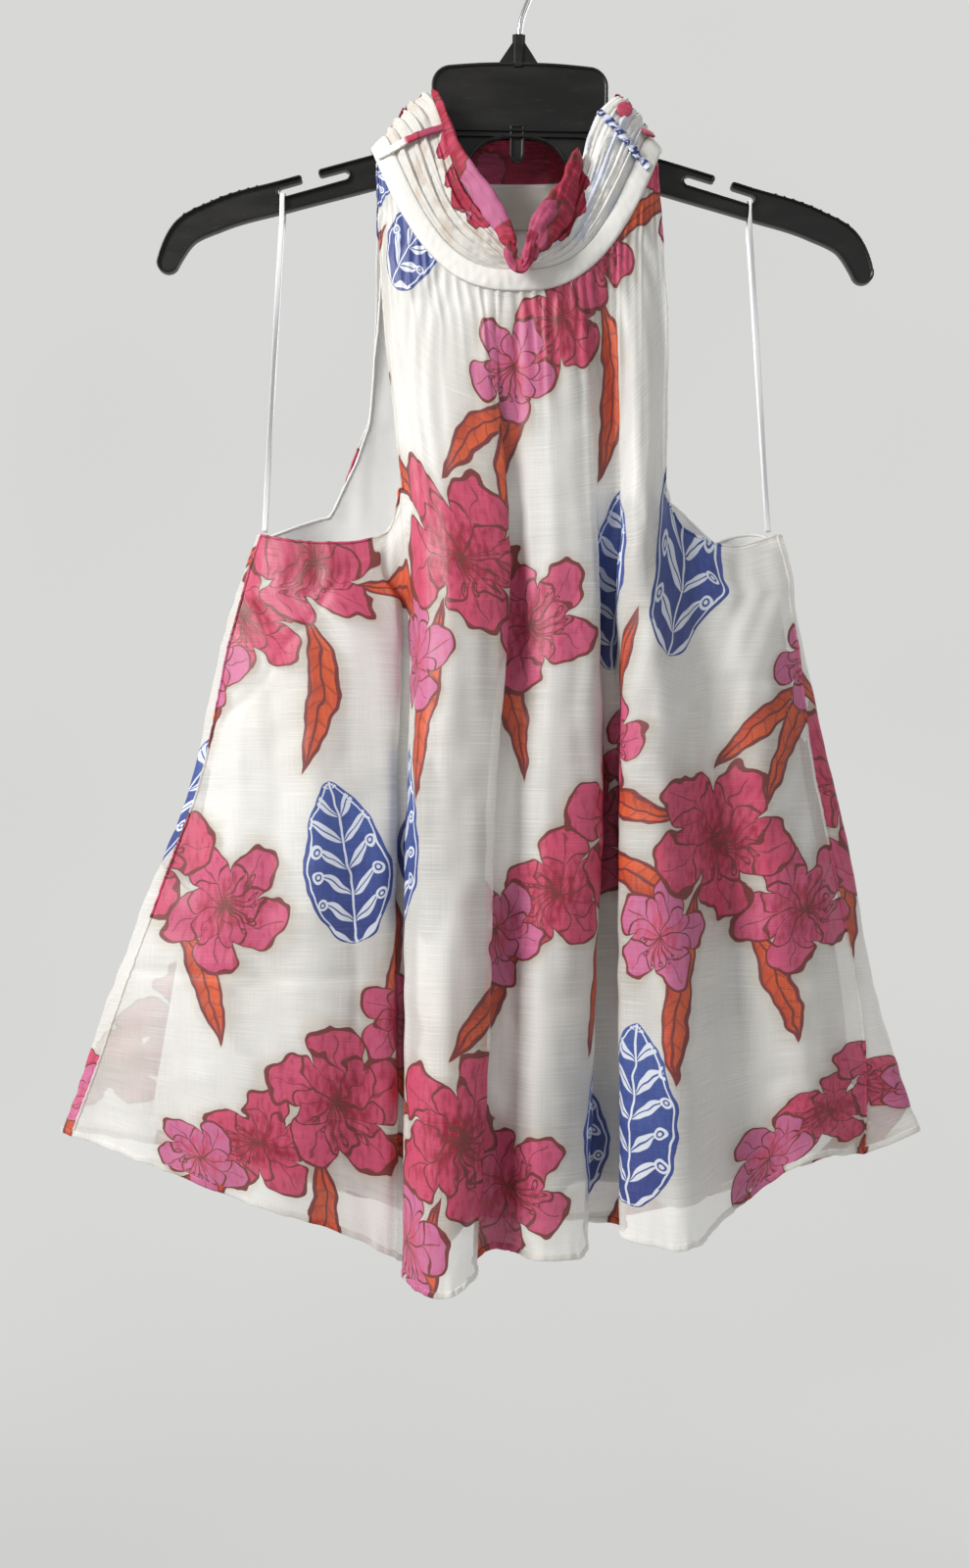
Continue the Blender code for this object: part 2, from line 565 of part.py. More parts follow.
def carrier(name, sizes, finish):
    """A narrow band across the pleats, lying on their crests."""
    share = np.linspace(sizes["top"], -0.3, 9)
    middle = sizes["low_angle"] + (sizes["high_angle"] - sizes["low_angle"]) * share
    clear = (PLEAT_DEPTH + CARRIER_WALL + 0.7) * collar_normal(middle)
    line = collar_surface(middle, share, 0.0) + clear
    step = unit(collar_surface(middle + 1, share, 0.0) - collar_surface(middle - 1, share, 0.0))
    sides = [line - step * sizes["width"] / 2, line, line + step * sizes["width"] / 2]
    points = np.stack(sides, axis=1).reshape(-1, 3)
    cloth_object(name, points, grid_faces(9, 3), CARRIER_WALL, finish)


def button(name, angle, share, tip):
    """A covered button: a low dome on a short shank, standing out from the collar's edge."""
    profile = ((0.6, 0.0), (1.6, 0.0), (1.6, 0.9), (4.3, 1.3), (4.7, 2.1), (4.2, 3.4), (2.4, 4.3))
    profile = np.array(profile) * (BUTTON["diameter"] / 9.4, BUTTON["height"] / 4.6)
    angle = np.array([float(angle)])
    axis = unit(collar_normal(angle)[0] + np.array(tip))
    seat = collar_surface(angle, np.array([share]), 0.0)[0]
    base = seat + axis * (PLEAT_DEPTH + 1.3)
    side = unit(np.cross(axis, (0.0, 0.3, 1.0)))
    other = np.cross(axis, side)
    turn = np.linspace(0, 2 * np.pi, 16, endpoint=False)[None, :, None]
    spoke = np.cos(turn) * side + np.sin(turn) * other
    rings = base + profile[:, None, 1:] * axis + profile[:, None, :1] * spoke
    tube_object(name, rings, "pink cover")


def build_collar():
    rows = 3 * PLEATS + 1
    front = 9 + 79 * np.linspace(0, 1, 15) ** 1.3
    collar_strip("collar_left", -front[::-1], rows, PLEAT_DEPTH, "printed cloth")
    collar_strip("collar_right", front, rows, PLEAT_DEPTH, "printed cloth")
    collar_strip("collar_back", np.linspace(92, 268, 15), rows, PLEAT_DEPTH * 0.6, "crimson print")
    band_strip("neckband_front", -86, 86, 33)
    band_strip("neckband_back", 94, 266, 21)
    roll("collar_roll_left", ROLL_LEFT, "crimson print")
    roll("collar_roll_right", ROLL_RIGHT, "crimson print")
    carrier("carrier_left", CARRIER_LEFT, "cream band")
    carrier("carrier_right", CARRIER_RIGHT, "blue print")
    button("button_upper", 84, 0.62, (-0.3, -2.2, -0.3))
    button("button_lower", 82, 0.0, (0.0, -0.4, -0.15))


def build_label():
    """A bare woven label hanging from the back neck seam, against the inside of the lining."""
    across = np.linspace(LABEL["left"], LABEL["right"], 7)
    down = np.linspace(0, LABEL["length"], 2)
    x, fall = np.meshgrid(across, down)
    turn = np.degrees(np.arcsin(x / RING_HALF_WIDTH))
    seam = neck_ring(180 - turn, LINING_INSET)[..., 1]
    y = seam - LINING_WALL - LABEL["wall"] - SEAM_GAP - 0.6 - 0.045 * fall
    points = np.stack([x, y, LABEL["top"] - fall], axis=-1).reshape(-1, 3)
    cloth_object("label", points, grid_faces(2, 7), LABEL["wall"], "label")


# ---------------------------------------------------------------- the hanger


def tipped(points):
    """The hanger's own sizes placed as it hangs: shifted to its middle and tipped about its neck."""
    x, y, z = np.moveaxis(np.asarray(points, float), -1, 0)
    fall = z - HANGER_PIVOT_Z
    sine, cosine = math.sin(HANGER_TILT), math.cos(HANGER_TILT)
    placed = (HANGER_MIDDLE + x * cosine + fall * sine, y, HANGER_PIVOT_Z + fall * cosine - x * sine)
    return np.stack(placed, axis=-1)


def arm_sides():
    """The upper and lower edges of an arm, and the round end between them."""
    line = smooth_path([(reach, 0, height, half) for reach, height, half in ARM_LINE], 25)
    along = unit(np.gradient(line[:, :3], axis=0))
    up = np.stack([-along[:, 2], along[:, 1], along[:, 0]], axis=1)
    upper = line[:, :3] + up * line[:, 3:]
    lower = line[:, :3] - up * line[:, 3:]
    turn = np.radians(np.linspace(90, -90, 9)[1:-1])[:, None]
    end = line[-1, :3] + line[-1, 3] * (np.cos(turn) * along[-1] + np.sin(turn) * up[-1])
    return upper[:, [0, 2]], end[:, [0, 2]], lower[:, [0, 2]]


def slot_outline(upper):
    """The slot for ribbons below the arm's upper edge, open at its mouth, as a detour of that edge."""
    height = np.interp
    start, end = SLOT["mouth_start"], SLOT["mouth_end"]
    slope = height(end, *upper.T) - height(start, *upper.T)
    along = unit(np.array([end - start, slope]))
    down = np.array([along[1], -along[0]])

    def at(reach, depth):
        return np.array([reach, height(reach, *upper.T)]) + down * depth

    lip, deep = SLOT["lip"], SLOT["lip"] + SLOT["height"]
    turn = np.radians(np.linspace(-60, 60, 5))[:, None]
    near = at(SLOT["start"] + 3, (lip + deep) / 2)
    far = at(SLOT["end"] - 3, (lip + deep) / 2)
    half = SLOT["height"] / 2
    near_end = near - half * (np.cos(turn) * along - np.sin(turn) * down)
    far_end = far + half * (np.cos(turn) * along - np.sin(turn) * down)
    start_lip = [at(start, 0), at(start, lip)]
    end_lip = [at(end, lip), at(end, 0)]
    return np.vstack([start_lip, near_end, far_end, end_lip]), start, end


def hanger_outline():
    """The half outline of both arms with the arch below them, from the middle's top to its bottom."""
    upper, end, lower = arm_sides()
    slot, start, stop = slot_outline(upper)
    before = upper[upper[:, 0] < start - 1]
    after = upper[upper[:, 0] > stop + 1]
    arch = np.array([(22, -140.5), (8, -137.5)])
    inner = lower[lower[:, 0] > 28]
    return np.vstack([before, slot, after, end, inner[::-1], arch])


def plate_outline():
    """The wide plate: a rectangle with round corners and a slightly arched top."""
    half, corner = PLATE["half_width"], PLATE["corner"]
    turn = np.radians(np.linspace(0, 90, 6))
    top = np.stack([half - corner + corner * np.cos(turn), PLATE["top"] - PLATE["arch"] - corner
                    + corner * np.sin(turn)], 1)
    low = np.stack([half - corner + corner * np.sin(turn), PLATE["bottom"] + corner
                    - corner * np.cos(turn)], 1)
    crown = np.array([(half * 0.4, PLATE["top"] - 0.4)])
    return np.vstack([low, top, crown])


def slab(name, half, depth, finish, aside=0.0):
    """A flat piece from one half of its outline, which is mirrored, filled and given its depth."""
    other = half[::-1] * (-1, 1)
    outline = np.vstack([half, other]) + (aside, 0)
    count = len(outline)
    flat = np.insert(outline, 1, 0.0, axis=1)
    points = np.concatenate([flat - (0, depth / 2, 0), flat + (0, depth / 2, 0)])
    around = np.arange(count)
    after = (around + 1) % count
    sides = np.stack([around, after, after + count, around + count], 1).tolist()
    faces = [around[::-1].tolist(), (around + count).tolist(), *sides]
    obj = mesh_object(name, tipped(points), faces, finish, smooth=False)
    area = np.cross(outline, np.roll(outline, -1, axis=0)).sum()
    if area > 0:
        obj.data.flip_normals()
    return obj


def join(target, others):
    for other in others:
        other.hide_render = True
        other.display_type = "WIRE"
        added = target.modifiers.new("join " + other.name, "BOOLEAN")
        added.operation = "UNION"
        added.solver = "EXACT"
        added.object = other


def build_hanger():
    body = slab("hanger", hanger_outline(), ARM_DEPTH, "black plastic")
    plate = slab("plate_form", plate_outline(), PLATE["depth"], "black plastic", PLATE["aside"])
    neck = np.array(
        [
            (NECK["half_base"], PLATE["top"] - 4),
            (NECK["half_base"], PLATE["top"] - 0.3),
            (NECK["half_top"], NECK["shoulder"]),
            (NECK["half_top"], NECK["top"]),
        ]
    )
    neck_form = slab("neck_form", neck, PLATE["depth"] - 1, "black plastic")
    tab = np.array([(TAB["half_width"], TAB["bottom"]), (TAB["half_width"], PLATE["bottom"] + 4)])
    tab_form = slab("tab_form", tab, PLATE["depth"] - 2, "black plastic")
    join(body, [plate, neck_form, tab_form])


def build_hook():
    """The wire hook: up from the neck, out to one side and over in a half turn."""
    centre = np.array([0.0, 0.0, WIRE / 2 - HOOK_RADIUS])
    turn = np.radians(np.linspace(0, 205, 12))[:, None]
    bow = centre + HOOK_RADIUS * (np.cos(turn) * (1, 0, 0) + np.sin(turn) * (0, 0, 1))
    stem = np.array([(1.6, 0, NECK["top"] + 0.6), (3.2, 0, -66.0), (8.0, 0, -53.0), (14.6, 0, -36.0)])
    line = smooth_path(np.vstack([stem, bow]), 30)
    along = unit(np.gradient(line, axis=0))[:, None]
    side = np.array([0.0, 1.0, 0.0])
    lift = np.cross(along, side)
    ring = np.linspace(0, 2 * np.pi, 8, endpoint=False)[None, :, None]
    spoke = np.cos(ring) * side + np.sin(ring) * lift
    tube_object("hook", line[:, None] + WIRE / 2 * spoke, "bright wire")


def build_ribbon(name, sign):
    """A hanging ribbon over the slot's lower bar, its two ends down at the underarm seam."""
    upper, _, lower = arm_sides()
    reach = RIBBON["reach"]
    top = np.interp(reach, *upper.T) - SLOT["lip"] - SLOT["height"]
    low = np.interp(reach, *lower[np.argsort(lower[:, 0])].T)
    clear = ARM_DEPTH / 2 + RIBBON["thickness"] / 2 + 0.7
    x = sign * reach
    rise = [(-clear, low - 4), (-clear, top - 0.5), (0.6 - clear, top + 1.5), (-1.5, top + 2.2)]
    half = np.array([(x, y, z) for y, z in rise])
    bar = tipped(np.vstack([half, half[::-1] * (1, -1, 1)]))
    foot = np.array([sign * RIBBON["foot_x"], 0.0, RIBBON["foot_z"] + 1.2])
    share = np.linspace(0, 1, 6)[:-1, None]
    apart = np.array([0.0, 0.8, 0.0])
    front = (foot - apart) + (bar[0] - foot + apart) * share
    rear = (foot + apart) + (bar[-1] - foot - apart) * share
    line = np.vstack([front, bar, rear[::-1]])
    along = unit(np.gradient(line, axis=0))
    wide = np.array([1.0, 0.0, 0.0]) * RIBBON["width"] / 2
    out = unit(np.cross(along, (1.0, 0.0, 0.0))) * RIBBON["thickness"] / 2
    corners = [line - wide - out, line + wide - out, line + wide + out, line - wide + out]
    tube_object(name, np.stack(corners, axis=1), "satin", smooth=False)


def main():
    clear_scene()
    build_body()
    build_collar()
    build_label()
    build_hanger()
    build_hook()
    build_ribbon("ribbon_left", -1)
    build_ribbon("ribbon_right", 1)


main()
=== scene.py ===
"""A sleeveless tie-neck blouse with a pleated halter collar, hanging on a plastic hanger.

The shapes repeat the frame's own lines, in millimetres: the origin is the inside top of the hook, +Z is
up, +X is to the right as seen from the front and -Y is the front of the blouse. Cloth carries a UV map
called cut, which is its flat cut in metres, so that print and weave follow the cloth.
"""

import math

import bpy
import numpy as np
from bpy.props import FloatProperty, FloatVectorProperty, PointerProperty
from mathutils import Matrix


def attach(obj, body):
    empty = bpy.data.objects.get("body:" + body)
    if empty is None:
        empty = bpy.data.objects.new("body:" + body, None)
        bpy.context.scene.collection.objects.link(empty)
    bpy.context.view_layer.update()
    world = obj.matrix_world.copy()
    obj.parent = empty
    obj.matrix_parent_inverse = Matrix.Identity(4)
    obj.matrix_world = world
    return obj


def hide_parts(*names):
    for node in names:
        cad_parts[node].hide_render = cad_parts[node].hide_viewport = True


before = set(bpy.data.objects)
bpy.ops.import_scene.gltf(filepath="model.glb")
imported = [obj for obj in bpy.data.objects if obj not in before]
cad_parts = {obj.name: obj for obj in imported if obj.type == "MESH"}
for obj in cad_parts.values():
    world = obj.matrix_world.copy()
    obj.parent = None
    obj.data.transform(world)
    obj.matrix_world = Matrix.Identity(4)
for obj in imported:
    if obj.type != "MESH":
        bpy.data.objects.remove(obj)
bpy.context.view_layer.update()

bl_info = {
    "name": "Tie-neck blouse",
    "version": (1, 0, 0),
    "blender": (4, 5, 0),
    "location": "View3D > Sidebar > Blouse",
    "description": "Makes a gathered, lined blouse with a pleated collar on its hanger",
    "category": "Add Mesh",
}

MM = 0.001
CLOTH_MAP = "cut"
FRONTWARD = np.array([0.0, -1.0, 0.0])

# ---- lines of the blouse, in millimetres

BAND_WIDTH = 11.0
SEAM_GAP = 0.35
RING_HALF_WIDTH = 86.0
RING_SHOULDER_Z = -145.0
RING_ROUNDNESS = 0.85
RING_FRONT = {"depth": 36.0, "drop": 92.5, "power": 2.6}
RING_BACK = {"depth": 26.0, "drop": 12.5, "power": 3.0}
LINING_INSET = 4.0

COLLAR_TOP = {"centre": 2.8, "half_width": 56.7, "depth": 30.0, "shoulder_z": -110.5, "drop": 16.0}
COLLAR_BULGE = {"left": 1.5, "right": 4.0, "back": 3.0}
PLEATS = 5
PLEAT_TOP = (
    # angle   left side           right side
    (0, (0.5, -39, -222.5), (0.5, -39, -222.5)),
    (8, (-5, -39, -214.5), (10, -38.5, -216)),
    (16, (-13, -36.5, -202), (20, -35, -202.5)),
    (28, (-22.5, -33, -189), (30, -30, -187)),
    (42, (-31.5, -28, -174.5), (35, -25, -171)),
    (56, (-37.5, -22.5, -156.5), (38.5, -20.5, -155.5)),
    (70, (-41.5, -17.5, -137), (42, -17, -141)),
    (80, (-46.5, -12.5, -121), (48.5, -13, -126)),
    (90, (-54, 0, -109.5), (59.5, 0, -112)),
)
# The soft roll along the collar's inner edge: its middle line, half its width and half its thickness
ROLL_LEFT = (
    (-50, -11, -113, 3.4, 1.6),
    (-46, -17, -123, 4.0, 1.8),
    (-41, -22, -137, 4.2, 2.0),
    (-37, -26.5, -151.5, 4.8, 2.4),
    (-30.5, -32, -165.5, 5.9, 2.7),
    (-22.5, -36.5, -179, 6.5, 2.8),
    (-14.5, -40, -192, 6.3, 2.8),
    (-8, -43, -204, 5.3, 2.7),
    (-4.2, -45, -213.5, 3.9, 2.5),
    (-2.6, -45.5, -220, 2.0, 2.0),
)
ROLL_RIGHT = (
    (35.5, -26, -152.5, 4.0, 2.0),
    (34.3, -28.3, -161, 5.0, 2.4),
    (31.6, -32, -173, 5.8, 2.6),
    (27.6, -36.7, -183, 8.0, 2.8),
    (23, -41.5, -193.5, 9.6, 3.0),
    (16.5, -45, -203, 9.2, 3.2),
    (12, -46.5, -211.5, 7.4, 3.2),
    (7.5, -47, -218.5, 5.2, 3.0),
    (4.6, -47, -225, 3.2, 2.6),
    (3.2, -46, -229.5, 1.4, 1.6),
)
# The folded end of the right roll, a narrow loop round the throat
THROAT_LOOP = (
    (-3.5, -46.5, -212, 2.6, 1.8),
    (-4.2, -48, -219, 3.0, 2.0),
    (-1.6, -49, -226, 3.0, 2.0),
    (2.4, -49, -228.5, 3.0, 2.0),
    (5.6, -49.4, -224, 3.0, 2.0),
    (6.8, -49.2, -215, 2.8, 2.0),
    (9.0, -48.4, -206, 2.2, 1.6),
)

LEVEL_KNOTS = {"neck": 0, "yoke": 85, "arm": 170, "under": 214, "waist": 318, "hip": 433, "hem": 585}
UNDER_Z, WAIST_Z, HIP_Z = -419, -523, -638
# Each fold line: its name, its angle at the neck if it reaches it, its bow above the armhole, x, y and z at
# the armhole, x and y under the arm, at the waist and at the hip, x, y and z at the hem, and columns after it
FRONT_FOLDS = (
    ("side_l", None, 0, (-153, -1.3, -375), (-166, -1.3), (-190, -1.3), (-231, -1.3), (-265, -1.3, -733), 3),
    ("panel_l1", None, 0, (-133, -9, -379), (-142, -12), (-156, -16), (-185, -18), (-209, -16, -750), 3),
    ("panel_l2", None, 0, (-111, -13, -381), (-114, -20), (-121, -26), (-138, -30), (-152, -28, -769), 2),
    ("panel_l3", None, 0, (-94, -12, -380), (-90, -20), (-91, -26), (-98, -28), (-104, -24, -785), 2),
    ("panel_l4", None, 0, (-81, -13, -376), (-71, -18), (-73, -24), (-75, -22), (-76, -17, -800), 2),
    ("valley_l1", None, 0, (-74, -13, -370), (-68, -6), (-70, -4), (-71.5, -4), (-72, -5, -806), 1),
    ("valley_l2", None, 0, (-70, -16, -360), (-64, -8), (-66, -4), (-67.5, -4), (-68, -5, -807), 3),
    ("col1_edge", -72, -3, (-66, -24, -351), (-61, -34), (-63, -40), (-64, -42), (-65, -40, -807), 3),
    ("col1_out", -58, -2, (-58, -38, -365), (-54, -46), (-56, -56), (-55, -60), (-55, -60, -811), 4),
    ("col1_crest", -38, 0, (-40, -46, -380), (-33, -54), (-38, -62), (-40, -66), (-40, -66, -812), 6),
    ("col1_in", -12, 0, (-4, -42, -382), (-4, -46), (-12, -54), (-15, -56), (-22, -54, -802), 1),
    ("tuck", -7, 0, (-8, -33, -381), (-9, -34), (-17, -38), (-20, -38), (-26, -36, -799), 1),
    ("mid_l", -2, 0, (0, -31, -381), (-1, -32), (-7, -34), (-11, -33), (-15, -30, -793), 3),
    ("mid_crest", 11, 0, (22, -40, -381), (22, -44), (18, -50), (14, -50), (11, -46, -796), 3),
    ("mid_r", 25, 0, (43, -34, -378), (45, -38), (47, -42), (44, -40), (39, -38, -795), 1),
    ("deep_l", 30, 0, (48, -18, -376), (50, -12), (51, -6), (47, -3), (43, -3, -784), 2),
    ("deep_r", 39, 0, (58, -17, -376), (59, -11), (60, -5), (61, -3), (62, -3, -786), 1),
    ("col2_edge", 44, 0, (60, -34, -378), (60, -38), (61, -42), (61, -42), (62, -38, -785), 3),
    ("col2_crest", 57, 0, (71, -42, -377), (74, -48), (80, -54), (84, -58), (91, -54, -789), 3),
    ("col2_out", 72, 3, (88, -24, -356), (91, -34), (102, -40), (107, -40), (113, -36, -782), 2),
    ("valley_r", None, 0, (99, -14, -373), (106, -20), (121, -24), (128, -22), (137, -18, -766), 3),
    ("panel_r", None, 0, (122, -12, -382), (129, -20), (144, -28), (155, -30), (166, -26, -745), 3),
    ("side_r", None, 0, (154, -1.3, -375), (163, -3), (177, -5), (201, -6), (206, -4, -743), 0),
)
BACK_FOLDS = (
    ("side_l", None, 0, (-153, 0.3, -374), (-166, 0.3), (-190, 0.3), (-232, 0.3), (-266, 0.3, -733), 1),
    ("turn_l", None, 0, (-157, 5, -374), (-171, 6), (-196, 7), (-240, 8), (-273, 8, -732), 2),
    ("fold_a", None, 0, (-143, 13, -374), (-154, 19), (-171, 22), (-201, 22), (-225, 20, -741), 2),
    ("fold_b", -72, 9, (-115, 17, -358), (-118, 26), (-130, 30), (-145, 32), (-159, 30, -758), 4),
    ("fold_c", -52, 4, (-91, 20, -359), (-90, 20), (-96, 20), (-105, 20), (-113, 18, -769), 4),
    ("fold_d", -32, 0, (-58, 24, -362), (-54, 29), (-57, 34), (-62, 36), (-67, 34, -783), 4),
    ("fold_e", -10, 0, (-21, 21, -365), (-18, 21), (-17, 21), (-18, 21), (-22, 19, -786), 4),
    ("fold_f", 12, 0, (15, 25, -364), (19, 30), (24, 35), (28, 37), (29, 35, -792), 4),
    ("fold_g", 34, 0, (51, 21, -362), (56, 20), (65, 21), (74, 21), (80, 19, -783), 4),
    ("fold_h", 54, 3, (82, 22, -358), (90, 27), (105, 31), (118, 33), (129, 31, -773), 4),
    ("fold_i", 72, -5, (110, 15, -356), (121, 19), (141, 20), (158, 20), (176, 18, -754), 2),
    ("fold_j", None, 0, (142, 12, -375), (151, 17), (171, 21), (192, 23), (211, 21, -744), 2),
    ("turn_r", None, 0, (159, 4, -375), (168, 5), (191, 6), (214, 7), (243, 8, -732), 1),
    ("side_r", None, 0, (156, -0.6, -375), (165, -2.2), (179.5, -4.2), (203.5, -5.2), (208.5, -3.2, -744), 0),
)
FRONT_LINING_FOLDS = (
    ("side_l", None, 0, (-150.4, -1.05, -377), (-162, -1.05), (-184, -1.05), (-204, -1.05),
     (-219, -1.05, -727), 2),
    ("panel_l1", None, 0, (-126, -5, -381), (-132, -9), (-142, -13), (-160, -15), (-175, -13, -741), 2),
    ("panel_l2", None, 0, (-97, -7, -381), (-96, -13), (-101, -17), (-108, -18), (-114, -15, -758), 2),
    ("valley_l", None, 0, (-77, -4, -373), (-63, 1), (-66, 2), (-67, 2), (-67, 1, -779), 2),
    ("col1_out", -70, -3, (-61, -14, -353), (-51, -15), (-54, -18), (-55, -20), (-55, -18, -787), 2),
    ("col1_crest", -36, 0, (-38, -30, -380), (-33, -34), (-37, -38), (-40, -40), (-41, -38, -789), 2),
    ("tuck", -6, 0, (-3, -22, -381), (-4, -20), (-12, -20), (-16, -20), (-19, -18, -770), 2),
    ("mid_crest", 8, 0, (23, -28, -382), (23, -28), (18, -32), (14, -32), (12, -28, -773), 2),
    ("deep_l", 26, 0, (44, -12, -378), (45, -2), (47, 1), (43, 2), (39, 2, -761), 1),
    ("deep_r", 40, 0, (62, -11, -378), (64, -1), (65, 1), (68, 2), (69, 2, -763), 2),
    ("col2_crest", 54, 0, (76, -26, -377), (80, -30), (86, -34), (92, -36), (97, -32, -769), 2),
    ("col2_out", 70, 3, (88, -12, -357), (100, -16), (113, -20), (122, -18), (132, -12, -753), 2),
    ("panel_r", None, 0, (123, -6, -383), (133, -11), (149, -16), (160, -18), (166, -14, -732), 2),
    ("side_r", None, 0, (150.6, -1.05, -377), (158, -2), (172.5, -3), (193, -3), (198, -2, -728), 0),
)
BACK_LINING_FOLDS = (
    ("side_l", None, 0, (-150.4, 1.05, -377), (-162, 1.05), (-184, 1.05), (-204, 1.05),
     (-219, 1.05, -727), 2),
    ("fold_b", -70, 9, (-110, 11, -362), (-117, 16), (-129, 17), (-142, 17), (-154, 15, -740), 3),
    ("fold_c", -50, 4, (-88, 14, -363), (-87, 14), (-93, 14), (-101, 14), (-111, 13, -749), 3),
    ("fold_e", 0, 0, (-4, 15, -368), (-2, 16), (-2, 16), (-2, 16), (-4, 15, -761), 3),
    ("fold_g", 50, 3, (76, 15, -363), (80, 15), (91, 15), (99, 15), (106, 14, -755), 3),
    ("fold_i", 70, -5, (106, 10, -360), (117, 12), (136, 14), (153, 15), (166, 13, -738), 2),
    ("side_r", None, 0, (150.6, 1.05, -377), (158, 0.4), (172.5, -0.4), (193, -0.4), (198, 0.4, -728), 0),
)

# Creases left by folding the blouse away: from x, z to x, z, then depth and half width
FRONT_CREASES = (
    (-240, -634, -66, -637, 0.9, 3.0),
    (95, -464, 190, -461, 0.8, 2.6),
    (-96, -560, -92, -745, 0.7, 2.4),
    (-90, -386, -176, -492, 0.9, 2.4),
    (-122, -384, -104, -440, 0.8, 5.0),
    (90, -336, 92, -455, 0.8, 2.6),
    (12, -405, 6, -500, 1.0, 6.0),
    (32, -400, 34, -520, 1.0, 5.0),
    (-150, -430, -120, -610, 0.9, 9.0),
    (-200, -560, -170, -720, 0.9, 9.0),
    (120, -500, 135, -700, 0.9, 8.0),
    (150, -560, 172, -720, -0.8, 8.0),
    (-40, -330, -30, -620, -0.7, 7.0),
)
BACK_CREASES = (
    (-220, -636, 200, -632, 0.9, 3.0),
    (-130, -462, 150, -458, 0.8, 2.8),
    (-40, -240, -60, -700, 0.8, 8.0),
    (60, -300, 96, -720, -0.8, 9.0),
    (130, -420, 170, -700, 0.9, 8.0),
    (-140, -420, -180, -700, -0.8, 9.0),
)

# How each armhole's edge is cut: distance along it from its corner under the yoke (upwards negative),
# how far it is drawn into the panel there, and how far down
BACK_ARMHOLES = {
    "left": ((-170, 0, 0), (-120, 1, 0), (-85, 5, 0), (-45, 14, 0), (-28, 12, 1), (0, 7, 4),
             (16, 3, 3), (34, 0, 0)),
    "right": ((-170, 0, 0), (-130, 2, 0), (-85, 9, 0), (-50, 15, 0), (-24, 18, 3), (0, 15, 13), (18, 8, 20),
              (36, 1, 4), (48, 0, 0)),
}
BACK_LINING_ARMHOLES = {
    "left": ((-170, 0, 0), (-110, 0, 0), (-75, 2, 0), (-45, 9, 0), (-26, 7, 0), (-8, 1, 0),
             (0, -1, 0), (20, 0, 0)),
    "right": ((-170, 0, 0), (-130, 2, 0), (-85, 9, 0), (-50, 15, 0), (-24, 17, 3), (0, 13, 12), (16, 7, 18),
              (32, 1, 4), (42, 0, 0)),
}

# ---- hanger, in millimetres

HANGER_MIDDLE = 1.5
HANGER_TILT = math.radians(0.9)
HANGER_PIVOT_Z = -75.0
ARM_LINE = (
    # reach  height  half width
    (36, -144.5, 8.5),
    (81, -158.0, 9.6),
    (137, -174.0, 9.3),
    (178, -186.5, 9.0),
    (198, -197.5, 8.3),
    (205.5, -210.0, 7.2),
    (207.5, -215.0, 6.6),
)
ARM_DEPTH = 7.0
SLOT = {"start": 102.0, "end": 144.0, "mouth_start": 119.0, "mouth_end": 128.5, "lip": 4.0, "height": 6.0}
PLATE = {
    "half_width": 52.8, "aside": 1.1, "top": -92.8, "bottom": -134.0,
    "corner": 12.0, "depth": 6.0, "arch": 2.0,
}
NECK = {"half_top": 3.8, "half_base": 12.0, "top": -75.6, "shoulder": -80.5}
TAB = {"half_width": 4.2, "bottom": -151.5}
TEETH = {"first": 150.0, "last": 196.0, "count": 9, "height": 0.8}
# Edges of the moulding that turn by more degrees than this stay sharp
SHARP = 32
WIRE = 3.2
HOOK_RADIUS = 19.0
RIBBON = {"width": 3.2, "thickness": 0.5, "reach": 139.5, "foot_x": 150.5, "foot_z": -374.0}
LABEL = {"left": -18.2, "right": 21.2, "top": -160.5, "length": 26.0, "clear": 1.5}
CARRIER_LEFT = {"low_angle": -72.5, "high_angle": -69, "top": 0.96, "width": 4.8}
# The right one twists by so many degrees to a millimetre
CARRIER_RIGHT = {"low_angle": 69.5, "high_angle": 78.5, "top": 0.98, "twist": 16.0}
# Angle round the neck, share of the rise and lean of each button, and the profile that is spun to make it
BUTTONS = {"upper": (84, 0.62, (-0.3, -2.2, -0.3)), "lower": (82, 0.0, (0.5, -0.25, 1.0))}
BUTTON_PROFILE = (
    # radius, height
    (0.5, 0.0), (1.5, 0.1), (1.5, 0.9), (3.0, 1.1), (4.2, 1.25), (4.62, 1.5), (4.8, 1.9),
    (4.7, 2.35), (4.3, 2.75), (3.6, 3.0), (2.7, 3.2), (1.6, 3.32), (0.5, 3.36),
)

# ---- the print's repeat, in millimetres

REPEAT = (268.0, 326.0)
# Blossoms that lie over the others, and those partly hidden under them
OVER = (
    # centre u, v, radius, turn, squash, mauve share
    (72, 78, 52, 20, 0.86, 0.0),
    (206, 236, 49, 64, 0.9, 0.1),
    (120, 296, 33, 100, 0.92, 0.85),
)
UNDER = (
    (132, 118, 43, -35, 0.9, 0.25),
    (160, 272, 41, 140, 0.84, 0.0),
    (34, 132, 34, 80, 0.9, 0.9),
    (246, 186, 32, 10, 0.9, 0.3),
)
LEAVES = (
    # base u, v, length, half width, turn, bend
    (100, 60, 104, 9.5, -68, 0.2),
    (60, 104, 118, 9.0, 98, -0.2),
    (40, 66, 84, 8.5, 196, 0.22),
    (96, 120, 96, 9.0, 66, 0.26),
    (220, 216, 112, 10.0, -74, -0.2),
    (232, 250, 92, 9.0, 20, 0.24),
    (196, 270, 98, 9.5, 98, 0.22),
    (130, 310, 84, 8.5, 140, -0.24),
)
DROPS = (
    # base u, v, length, half width, turn, bend
    (12, 296, 112, 30, -86, 0.0),
    (214, 140, 96, 26, -100, 0.0),
)
# How far from its middle or outline a motif still paints: blossoms in radii, leaves and drops in millimetres
REACH = {"over": 1.3, "under": 1.3, "leaf": 11.0, "drop": 4.0}
